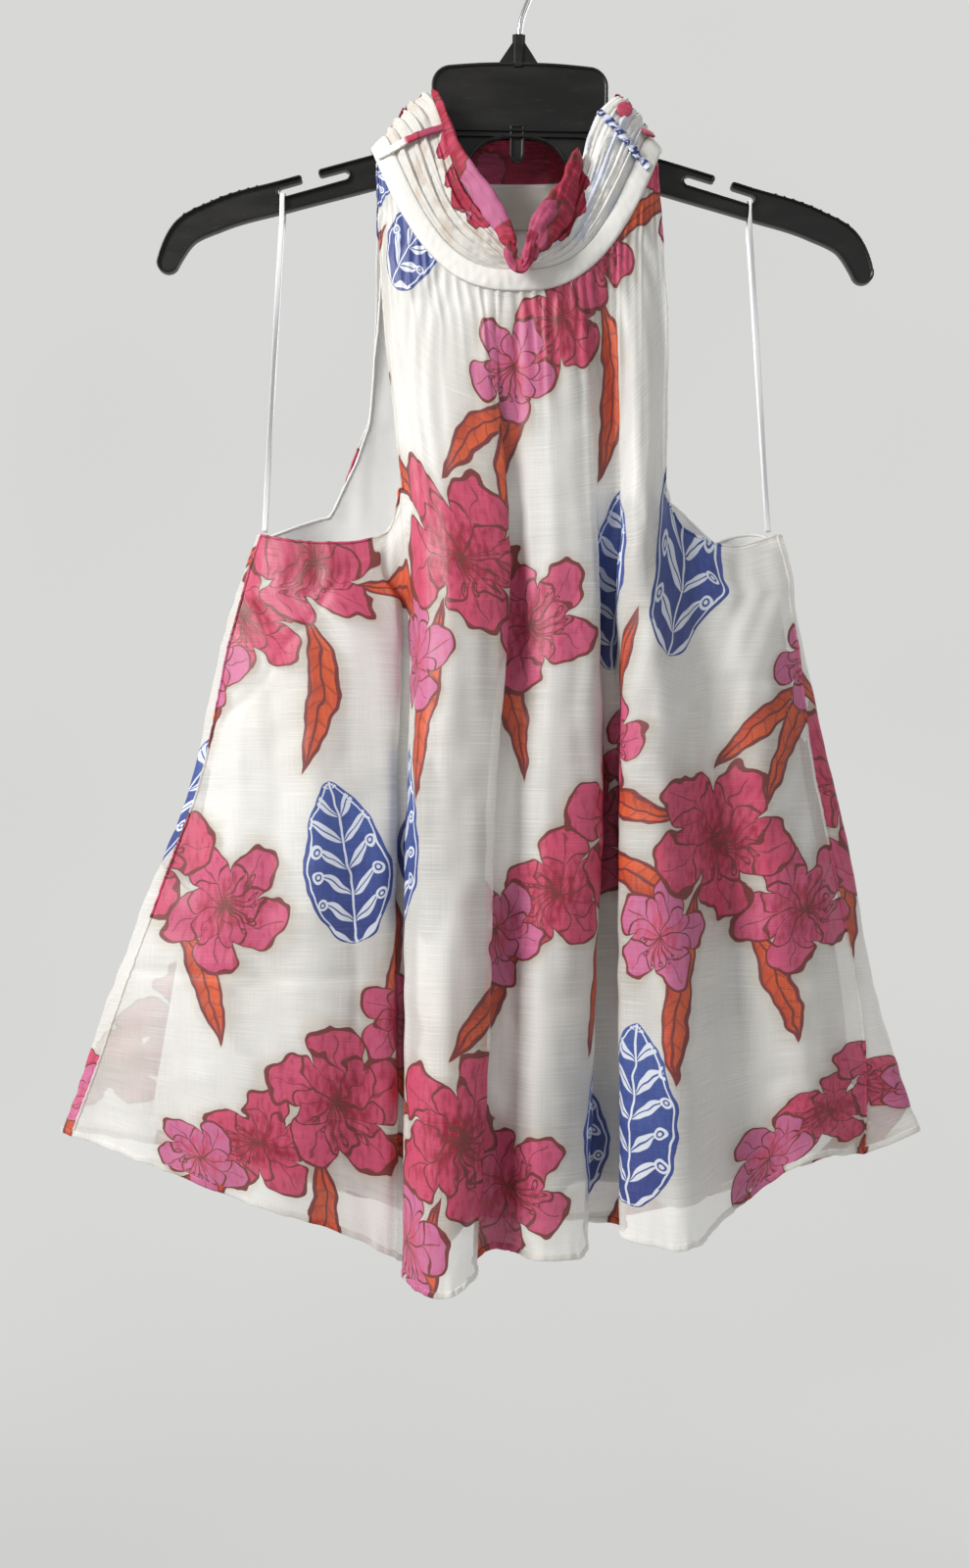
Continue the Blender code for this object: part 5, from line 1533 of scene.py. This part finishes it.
class BLOUSE_OT_carriers(bpy.types.Operator):
    """Make the flat carrier on the left and the twisted one on the right"""

    bl_idname = "blouse.carriers"
    bl_label = "Carriers"

    def execute(self, context):
        count, around = 90, 20
        line, face = carrier_line(CARRIER_LEFT, 2.8, count)
        line = line + face * (1.1 * np.sin(np.linspace(0, np.pi, count)) ** 1.5)[:, None]
        rings = carried_oval(line, face, CARRIER_LEFT["width"] / 2, 1.0, around, 0.75)
        run = run_along(line, 0)[::-1, None]
        aside = np.cos(full_turn(around))[None] * 2.0
        rings = rings + (0.12 * waver(71, (6.0, 2.0), run, aside))[..., None] * face[:, None]
        left = ring_solid("carrier_left_strip", rings, finish_named("left carrier"), laid_flat(run, aside))
        settle(left, "carrier_left")
        count, around = 110, 24
        line, face = carrier_line(CARRIER_RIGHT, 3.0, count)
        run = run_along(line, 0)[:, None]
        twist = np.radians(run * CARRIER_RIGHT["twist"])
        along = unit(np.gradient(line, axis=0))
        turned = unit(face * np.cos(twist) + np.cross(face, along) * np.sin(twist))
        rings = carried_oval(line, turned, 2.5, 1.5, around)
        bumps = 0.2 * waver(72, (7.0, 2.5), run, np.linspace(0, 12, around)[None])
        rings = rings + unit(rings - line[:, None]) * bumps[..., None]
        uv = laid_flat(np.linspace(0, 13, around, endpoint=False)[None], run)
        right = ring_solid("carrier_right_twist", rings, finish_named("navy twist"), uv)
        settle(right, "carrier_right")
        return {"FINISHED"}


def button_piece(name, angle, share, lean, finish):
    """A covered button: its profile of radius and height spun about an axis that leans outwards."""
    profile = smooth_path(np.insert(np.array(BUTTON_PROFILE), 1, 0.0, axis=1), 40)[:, [0, 2]]
    angle = np.array([float(angle)])
    axis = unit(collar_normal(angle)[0] + np.array(lean))
    base = collar_surface(angle, np.array([share]), np.zeros(1))[0] + axis * 2.6
    side = unit(np.cross(axis, (0.0, 0.3, 1.0)))
    other = np.cross(axis, side)
    turn = full_turn(48)[None, :, None]
    spoke = np.cos(turn) * side + np.sin(turn) * other
    rings = base + profile[:, None, 1:] * axis + profile[:, None, :1] * spoke
    run = run_along(profile, 0)[::-1, None]
    return ring_solid(name, rings, finish, laid_flat(turn[..., 0] * 4.7, run - 1.2))


class BLOUSE_OT_trims(bpy.types.Operator):
    """Make the covered buttons and the bare label in the back neck"""

    bl_idname = "blouse.trims"
    bl_label = "Buttons and label"

    def execute(self, context):
        for name, place in BUTTONS.items():
            button = button_piece(name + "_button", *place, finish_named("pink cover"))
            settle(button, "button_" + name)
        across, down = np.linspace(LABEL["left"], LABEL["right"], 70), np.linspace(0, LABEL["length"], 46)
        x, fall = np.meshgrid(across, down)
        turn = np.degrees(np.arcsin(x / RING_HALF_WIDTH))
        seam = neck_ring(180 - turn, LINING_INSET)[..., 1]
        y = seam - LABEL["clear"] - SEAM_GAP - 0.6 - 0.045 * fall
        y = y - 0.35 * np.sin(np.pi * fall / LABEL["length"]) + 0.12 * waver(81, (18.0, 12.0), x, fall)
        points = np.stack([x, y, LABEL["top"] - fall], -1)
        label = grid_piece("bare_label", points, laid_flat(x, fall), finish_named("bare label"))
        thicken(label, 0.5)
        settle(label, "label")
        return {"FINISHED"}


# ---- hanger


def tipped(points):
    """The hanger's own sizes placed as it hangs: shifted to its middle and tipped about its neck."""
    x, y, z = np.moveaxis(np.asarray(points, float), -1, 0)
    fall = z - HANGER_PIVOT_Z
    sine, cosine = math.sin(HANGER_TILT), math.cos(HANGER_TILT)
    placed = (HANGER_MIDDLE + x * cosine + fall * sine, y, HANGER_PIVOT_Z + fall * cosine - x * sine)
    return np.stack(placed, axis=-1)


def arm_sides():
    """The upper and lower edges of an arm, and the round end between them. Small teeth grip straps."""
    line = smooth_path([(reach, 0, height, half) for reach, height, half in ARM_LINE], 220)
    along = unit(np.gradient(line[:, :3], axis=0))
    up = np.stack([-along[:, 2], along[:, 1], along[:, 0]], axis=1)
    pitch = (TEETH["last"] - TEETH["first"]) / TEETH["count"]
    place = (line[:, 0] - TEETH["first"]) / pitch
    tooth = np.clip(1 - np.abs((place % 1.0) - 0.5) * 6, 0, 1) * ((place > 0) & (place < TEETH["count"]))
    upper = line[:, :3] + up * (line[:, 3:] + TEETH["height"] * tooth[:, None])
    lower = line[:, :3] - up * line[:, 3:]
    turn = np.radians(np.linspace(90, -90, 25)[1:-1])[:, None]
    end = line[-1, :3] + line[-1, 3] * (np.cos(turn) * along[-1] + np.sin(turn) * up[-1])
    return upper[:, [0, 2]], end[:, [0, 2]], lower[:, [0, 2]]


def slot_outline(upper):
    """The slot for ribbons below the arm's upper edge, open at its mouth, as a detour of that edge."""
    slope = np.interp(SLOT["mouth_end"], *upper.T) - np.interp(SLOT["mouth_start"], *upper.T)
    along = unit(np.array([SLOT["mouth_end"] - SLOT["mouth_start"], slope]))
    down = np.array([along[1], -along[0]])

    def at(reach, depth):
        return np.array([reach, np.interp(reach, *upper.T)]) + down * depth

    start, end, lip = SLOT["mouth_start"], SLOT["mouth_end"], SLOT["lip"]
    deep, half = lip + SLOT["height"], SLOT["height"] / 2
    turn = np.radians(np.linspace(-84, 84, 15))[:, None]
    near = at(SLOT["start"] + half, (lip + deep) / 2)
    far = at(SLOT["end"] - half, (lip + deep) / 2)
    near_end = near - half * (np.cos(turn) * along - np.sin(turn) * down)
    far_end = far + half * (np.cos(turn) * along - np.sin(turn) * down)
    bend = np.radians(np.linspace(90, -90, 11))[:, None]
    lips = []
    for centre, way in ((at(start - lip / 2, lip / 2), 1.0), (at(end + lip / 2, lip / 2), -1.0)):
        round_end = centre + lip / 2 * (way * np.cos(bend) * along - np.sin(bend) * down)
        lips.append(round_end if way > 0 else round_end[::-1])
    return np.vstack([lips[0], near_end, far_end, lips[1]]), start - lip / 2, end + lip / 2


def hanger_outline():
    """The half outline of both arms with the arch below them, from the middle's top to its bottom."""
    upper, end, lower = arm_sides()
    slot, start, stop = slot_outline(upper)
    before = upper[upper[:, 0] < start - 0.5]
    after = upper[upper[:, 0] > stop + 0.5]
    arch = smooth_path([(28, 0, -150.6), (20, 0, -141.5), (9, 0, -137.8), (1, 0, -137.2)], 24)[:, [0, 2]]
    inner = lower[lower[:, 0] > 30]
    return np.vstack([before, slot, after, end, inner[::-1], arch])


def plate_outline():
    """The wide plate: a rectangle with round corners and a slightly arched top."""
    half, corner = PLATE["half_width"], PLATE["corner"]
    top, shoulder, bottom = PLATE["top"], PLATE["top"] - PLATE["arch"], PLATE["bottom"]
    turn = np.radians(np.linspace(0, 90, 16))
    sine, cosine = corner * np.sin(turn), corner * np.cos(turn)
    low = np.stack([half - corner + sine, bottom + corner - cosine], 1)
    high = np.stack([half - corner + cosine, shoulder - corner + sine], 1)
    crown = [(half - corner - 1, 0, shoulder + 0.15), (half * 0.4, 0, top - 0.4), (1, 0, top)]
    crown = smooth_path(crown, 14)[:, [0, 2]]
    return np.vstack([low, high, crown])


def plate_piece(name, outline, profile, finish):
    """A flat moulding: its outline is drawn in by each inset of the profile, at that depth from the middle.

    The profile runs from the front's middle round the edge to the back, and both ends are filled.
    """
    area = np.sum(outline[:, 0] * np.roll(outline[:, 1], -1) - np.roll(outline[:, 0], -1) * outline[:, 1])
    if area < 0:
        outline = outline[::-1]
    ahead = unit(np.roll(outline, -1, axis=0) - outline)
    behind = unit(outline - np.roll(outline, 1, axis=0))
    bisector = unit(ahead + behind)
    inward = np.stack([-bisector[:, 1], bisector[:, 0]], 1)
    spread = np.clip(np.sum(bisector * ahead, axis=1), 0.55, 1.0)
    insets, depths = np.array(profile, float).T
    flat = outline + inward * (insets[:, None] / spread)[..., None]
    rings = np.insert(flat, 1, depths[:, None], axis=2)
    numbers = np.arange(len(outline))
    sides = tube_faces(len(profile), len(outline))[0][:, [0, 3, 2, 1]]
    ends = numbers[None], (numbers + (len(profile) - 1) * len(outline))[None, ::-1]
    piece = mesh_piece(name, tipped(rings.reshape(-1, 3)), [sides, *ends], finish)
    piece.data.set_sharp_from_angle(angle=math.radians(SHARP))
    return piece


def edge_profile(*front):
    """Insets and depths of a moulding, from those of its front half: the back half is the same."""
    return [(inset, -depth) for inset, depth in front] + list(front[::-1])


def rim_profile(depth, rim, web, edge=0.5):
    """Inset and depth of a moulding with a raised rim round a thinner web, the same front and back."""
    full, thin = depth / 2, web / 2
    return edge_profile((rim + 0.35, thin), (rim, thin + 0.25), (rim - 0.15, full - 0.2), (rim - 0.4, full),
                        (edge, full), (edge * 0.3, full - edge * 0.35), (0, full - edge))


def mirrored(half, aside=0.0):
    """A whole outline from its right half."""
    return np.vstack([half, half[::-1] * (-1, 1)]) + (aside, 0)


class BLOUSE_OT_hanger(bpy.types.Operator):
    """Make the moulded hanger with its rims, plate, neck and slots"""

    bl_idname = "blouse.hanger"
    bl_label = "Hanger"

    def execute(self, context):
        top, bottom, base, slim = PLATE["top"], PLATE["bottom"], NECK["half_base"], NECK["half_top"]
        join = np.array([(1.0, -136.9), (30.0, -137.6), (43.0, -139.0), (43.0, bottom + 2.5)])
        neck = np.array([(base, top - 4), (base, top - 0.3), (slim, NECK["shoulder"]), (slim, NECK["top"])])
        boss = np.array([(2.9, top - 3), (2.9, NECK["top"] - 1.6), (2.4, NECK["top"] + 0.1)])
        turn = np.radians(np.linspace(0, 90, 8))[1:, None]
        foot = TAB["half_width"] * np.hstack([np.sin(turn), 1 - np.cos(turn)]) + (0, TAB["bottom"])
        tab = np.vstack([foot, [(TAB["half_width"], bottom + 4)]])
        parts = {
            "arms": (mirrored(hanger_outline()), rim_profile(ARM_DEPTH, 1.3, 3.4)),
            "plate": (mirrored(plate_outline(), PLATE["aside"]), rim_profile(PLATE["depth"], 1.7, 3.6)),
            "join": (mirrored(join), edge_profile((0.5, 1.6), (0, 1.2))),
            "neck_web": (mirrored(neck), edge_profile((0.3, 1.3), (0, 1.0))),
            "neck_boss": (mirrored(boss), edge_profile((0.9, 2.9), (0.2, 2.2), (0, 1.4))),
            "tab": (mirrored(tab), rim_profile(5.0, 1.3, 2.2, 0.3)),
        }
        for name, (outline, profile) in parts.items():
            piece = plate_piece("hanger_" + name, outline, profile, finish_named("black plastic"))
            settle(piece, "hanger" if name == "arms" else None)
        return {"FINISHED"}


class BLOUSE_OT_hook(bpy.types.Operator):
    """Make the wire hook"""

    bl_idname = "blouse.hook"
    bl_label = "Hook"

    def execute(self, context):
        centre = np.array([0.0, 0.0, WIRE / 2 - HOOK_RADIUS])
        turn = np.radians(np.linspace(0, 205, 24))[:, None]
        bow = centre + HOOK_RADIUS * (np.cos(turn) * (1, 0, 0) + np.sin(turn) * (0, 0, 1))
        stem = np.array([(1.6, 0, NECK["top"] - 2.0), (3.2, 0, -66.0), (8.0, 0, -53.0), (14.6, 0, -36.0)])
        line = smooth_path(np.vstack([stem, bow]), 150)
        half = WIRE / 2 * np.minimum(1.0, np.arange(150)[::-1] / 3.0 + 0.35) ** 0.5
        rings = carried_oval(line, FRONTWARD, half, half, 24)
        settle(ring_solid("wire_hook", rings, finish_named("bright wire")), "hook")
        return {"FINISHED"}


def ribbon_piece(name, sign, finish):
    """A hanging ribbon: a thin flat strip over the slot's lower bar, its two ends at the underarm seam."""
    upper, _, lower = arm_sides()
    reach = RIBBON["reach"]
    top = np.interp(reach, *upper.T) - SLOT["lip"] - SLOT["height"]
    low = np.interp(reach, *lower[np.argsort(lower[:, 0])].T)
    clear = ARM_DEPTH / 2 + RIBBON["thickness"] / 2 + 0.5
    rise = [(-clear, low - 4), (-clear, top - 0.5), (0.6 - clear, top + 1.5), (-1.5, top + 2.2)]
    half = np.array([(sign * reach, y, z) for y, z in rise])
    bar = tipped(np.vstack([half, half[::-1] * (1, -1, 1)]))
    foot = np.array([sign * RIBBON["foot_x"], 0.0, RIBBON["foot_z"] + 1.2])
    apart = np.array([0.0, 0.8, 0.0])
    share = np.linspace(0, 1, 12)[:-1, None]
    front = (foot - apart) + (bar[0] - foot + apart) * share
    rear = (foot + apart) + (bar[-1] - foot - apart) * share
    line = smooth_path(np.vstack([front, bar, rear[::-1]]), 260)
    run = run_along(line, 0)
    near_bar = np.exp(-((np.abs(run - run[-1] / 2) - 9.0) / 7.0) ** 2)
    width = RIBBON["width"] / 2 * (1 - (0.55 if sign > 0 else 0.1) * near_bar)
    along = unit(np.gradient(line, axis=0))
    lean = 0.45 * np.sin(np.pi * run / run[-1] * 2) + 0.25 * waver(85 + int(sign), 190.0, run)
    across = np.stack([np.cos(lean), np.sin(lean), np.zeros_like(lean)], -1)
    straight = np.exp(-((run - run[-1] / 2) / 16.0) ** 2)[:, None]
    across = unit(across * (1 - straight) + np.array([1.0, 0, 0]) * straight)
    out = unit(np.cross(across, along))
    rings = carried_oval(line, out, width, RIBBON["thickness"] / 2, 12, 0.6)
    return ring_solid(name, rings, finish, laid_flat(np.linspace(0, 7, 12)[None], run[:, None]))


class BLOUSE_OT_ribbons(bpy.types.Operator):
    """Make the satin hanging ribbons"""

    bl_idname = "blouse.ribbons"
    bl_label = "Ribbons"

    def execute(self, context):
        finish = finish_named("satin ribbon")
        for name, sign in (("ribbon_left", -1), ("ribbon_right", 1)):
            piece = ribbon_piece(name + "_satin", sign, finish)
            settle(piece, name)
        return {"FINISHED"}


# ---- stage

# The round room in millimetres: its flat floor, the bend up to its wall, and the wall, which glows as painted
# light
ROOM = {"floor": 2400, "bend": 1000, "height": 4600, "sides": 32}
LIGHTS = (
    # name          place, target height           size, share of the key power, tint
    ("key light", (-1.9, -1.35, 0.75), -0.5, 0.9, 1.0, (1.0, 0.99, 0.97)),
    ("fill light", (1.6, -2.2, 0.0), -0.5, 1.8, 0.1, (0.95, 0.97, 1.0)),
    ("back light", (1.2, 2.3, 1.0), -0.4, 1.4, 0.5, (1.0, 1.0, 1.0)),
)
# The camera's place across and up, in metres, and the height of its picture on the sensor, in millimetres
CAMERA = {"x": -0.01905, "z": -0.5233, "sensor": 24.0}


def area_light(name, place, target, size, power, tint):
    """A square soft light at a place, turned to face a height on the frame's axis."""
    data = bpy.data.lights.new(name, "AREA")
    data.size, data.energy, data.color = size, power, tint
    lamp = bpy.data.objects.new(name, data)
    lamp.location = place
    way = np.array([0.0, 0.0, target]) - np.asarray(place, float)
    fall = math.acos(-way[2] / np.linalg.norm(way))
    lamp.rotation_euler = (fall, 0.0, math.atan2(way[1], way[0]) - math.pi / 2)
    bpy.context.scene.collection.objects.link(lamp)


class BLOUSE_OT_stage(bpy.types.Operator):
    """Make the glowing round room that lights the blouse, the soft lights and the camera"""

    bl_idname = "blouse.stage"
    bl_label = "Stage"

    def execute(self, context):
        settings = context.scene.blouse_stage
        tint = paint(settings.backdrop)
        dark = (0.02, 0.02, 0.02, 1.0)
        finish = Finish("glowing wall", 0.9, Specular_IOR_Level=0.0, Base_Color=dark, Emission_Strength=1.0)
        place = finish.place()
        floor, bend, wall = ROOM["floor"], ROOM["bend"], ROOM["floor"] + ROOM["bend"]
        # painted light: the room's near-black surface glows, brighter behind the blouse and dimmer in front,
        # clouded unevenly
        clouds = (place.solid_noise(0.0006) - 0.5) * 0.3
        behind = place.parts()[1].step(-float(wall), float(wall)) + clouds
        dim = mix_inks(tint, BLACK, settings.dimming)
        finish.link("Emission Color", behind.most(0.0).least(1.0).colour(dim, tint))
        turn = np.radians(np.linspace(0, 90, 6))
        reach = np.concatenate([[1, floor / 2], floor + bend * np.sin(turn), [wall]])[:, None]
        rise = np.concatenate([[0, 0], bend * (1 - np.cos(turn)), [ROOM["height"]]])[:, None]
        rise = rise + settings.floor_level / MM
        around = np.radians(np.linspace(0, 360, ROOM["sides"] + 1))[None]
        points = np.stack([reach * np.cos(around), reach * np.sin(around), rise + 0 * around], -1)
        quads = grid_quads(*points.shape[:2])
        mesh_piece("glowing_room", points.reshape(-1, 3), [quads], finish.material)
        world = bpy.data.worlds.new("soft studio")
        world.use_nodes = True
        glow = world.node_tree.nodes["Background"].inputs
        glow["Color"].default_value = (0.97, 0.98, 1.0, 1.0)
        glow["Strength"].default_value = settings.ambient
        context.scene.world = world
        for name, spot, target, size, share, colour in LIGHTS:
            area_light(name, spot, target, size, settings.key_power * share, colour)
        data = bpy.data.cameras.new("camera")
        data.sensor_fit = "VERTICAL"
        data.sensor_height = CAMERA["sensor"]
        data.lens = settings.lens
        data.clip_start = 0.05
        camera = bpy.data.objects.new("camera", data)
        camera.location = (CAMERA["x"], -settings.distance, CAMERA["z"])
        camera.rotation_euler = (math.pi / 2, 0.0, 0.0)
        context.scene.collection.objects.link(camera)
        context.scene.camera = camera
        context.scene.view_settings.view_transform = "Standard"
        return {"FINISHED"}


# ---- settings and panel


def length_property(name, description, default):
    return FloatProperty(name=name, description=description, default=default, unit="LENGTH", precision=4)


def share_property(name, description, default):
    return FloatProperty(name=name, description=description, default=default, subtype="FACTOR")


def ink(name, description, *default):
    """A colour as a screen shows it."""
    return FloatVectorProperty(
        name=name, description=description, default=default, subtype="COLOR_GAMMA", size=3, min=0, max=1
    )


# The settings that aren't colours
SIZES = ("gather_depth", "gather_fade", "fullness", "pleat_depth", "hem_width", "sheerness")


class BlouseSettings(bpy.types.PropertyGroup):
    """Sizes and colours of the blouse and hanger"""

    gather_depth: length_property("Gather depth", "Half the height of the gathers below the band", 0.0011)
    gather_fade: length_property("Gather fade", "How far below the band the gathers die away", 0.024)
    fullness: share_property("Fullness", "Extra width drawn into the neck seam", 0.55)
    pleat_depth: length_property("Pleat depth", "How far the collar's pleats stand out", 0.0021)
    hem_width: length_property("Hem width", "Height of the narrow hem", 0.0042)
    sheerness: share_property("Sheerness", "Share of light that the plain voile lets through", 0.42)
    cream: ink("Cream", "Ground of the printed cloth and the band", 0.96, 0.955, 0.935)
    shade: ink("Shade", "Ground where the cloth is thinner", 0.93, 0.92, 0.895)
    halo: ink("Halo", "Faint edge round the print", 0.80, 0.74, 0.64)
    pink: ink("Pink", "Petals", 0.79, 0.29, 0.42)
    mauve: ink("Mauve", "Lighter petals", 0.77, 0.43, 0.60)
    crimson: ink("Crimson", "Hearts of the blossoms and the rolled edge", 0.58, 0.10, 0.19)
    orange: ink("Orange", "Leaves", 0.84, 0.36, 0.20)
    rust: ink("Rust", "Shaded side of the leaves", 0.66, 0.22, 0.14)
    wine: ink("Wine", "Outlines", 0.47, 0.20, 0.20)
    navy: ink("Navy", "Drops", 0.20, 0.25, 0.50)
    blue: ink("Blue", "Lighter end of the drops", 0.25, 0.35, 0.62)
    pale: ink("Pale blue", "Branches in the drops", 0.84, 0.86, 0.90)
    lining: ink("Lining", "White lining", 0.945, 0.945, 0.94)
    label: ink("Label", "Bare label", 0.84, 0.82, 0.78)
    ribbon: ink("Ribbon", "Satin ribbon", 0.93, 0.93, 0.94)
    plastic: ink("Plastic", "Hanger", 0.045, 0.04, 0.035)
    wire: ink("Wire", "Hook", 0.86, 0.86, 0.87)


class BlouseStageSettings(bpy.types.PropertyGroup):
    """Camera, lights and room"""

    distance: length_property("Distance", "From the camera to the hanger", 1.10)
    lens: FloatProperty(
        name="Lens", description="Focal length in millimetres", default=28.16, subtype="DISTANCE_CAMERA"
    )
    floor_level: length_property("Floor level", "Height of the floor below the hook", -1.7)
    ambient: FloatProperty(name="Ambient", description="Strength of the light all round", default=0.40)
    key_power: FloatProperty(
        name="Key power", description="Strength of the main light", default=74.0, unit="POWER"
    )
    backdrop: ink("Backdrop", "Glow of the room behind the blouse", 0.84, 0.84, 0.835)
    dimming: share_property("Dimming", "How much less the room glows in front of the blouse", 0.55)


OPERATORS = (
    BLOUSE_OT_shell,
    BLOUSE_OT_lining,
    BLOUSE_OT_collar,
    BLOUSE_OT_rolls,
    BLOUSE_OT_carriers,
    BLOUSE_OT_trims,
    BLOUSE_OT_hanger,
    BLOUSE_OT_hook,
    BLOUSE_OT_ribbons,
    BLOUSE_OT_stage,
)


class BLOUSE_PT_panel(bpy.types.Panel):
    """Lists the sizes, the colours and the pieces"""

    bl_idname = "BLOUSE_PT_panel"
    bl_label = "Blouse"
    bl_space_type = "VIEW_3D"
    bl_region_type = "UI"
    bl_category = "Blouse"

    def draw(self, context):
        for group in (context.scene.blouse, context.scene.blouse_stage):
            for name in type(group).__annotations__:
                self.layout.prop(group, name)
        for operator in OPERATORS:
            self.layout.operator(operator.bl_idname)


CLASSES = (BlouseSettings, BlouseStageSettings, *OPERATORS, BLOUSE_PT_panel)


def register():
    for item in CLASSES:
        bpy.utils.register_class(item)
    bpy.types.Scene.blouse = PointerProperty(type=BlouseSettings)
    bpy.types.Scene.blouse_stage = PointerProperty(type=BlouseStageSettings)


def unregister():
    del bpy.types.Scene.blouse_stage
    del bpy.types.Scene.blouse
    for item in reversed(CLASSES):
        bpy.utils.unregister_class(item)


def main():
    register()
    bpy.ops.blouse.shell()
    bpy.ops.blouse.lining()
    bpy.ops.blouse.collar()
    bpy.ops.blouse.rolls()
    bpy.ops.blouse.carriers()
    bpy.ops.blouse.trims()
    bpy.ops.blouse.hanger()
    bpy.ops.blouse.hook()
    bpy.ops.blouse.ribbons()
    bpy.ops.blouse.stage()


if __name__ == "__main__":
    main()
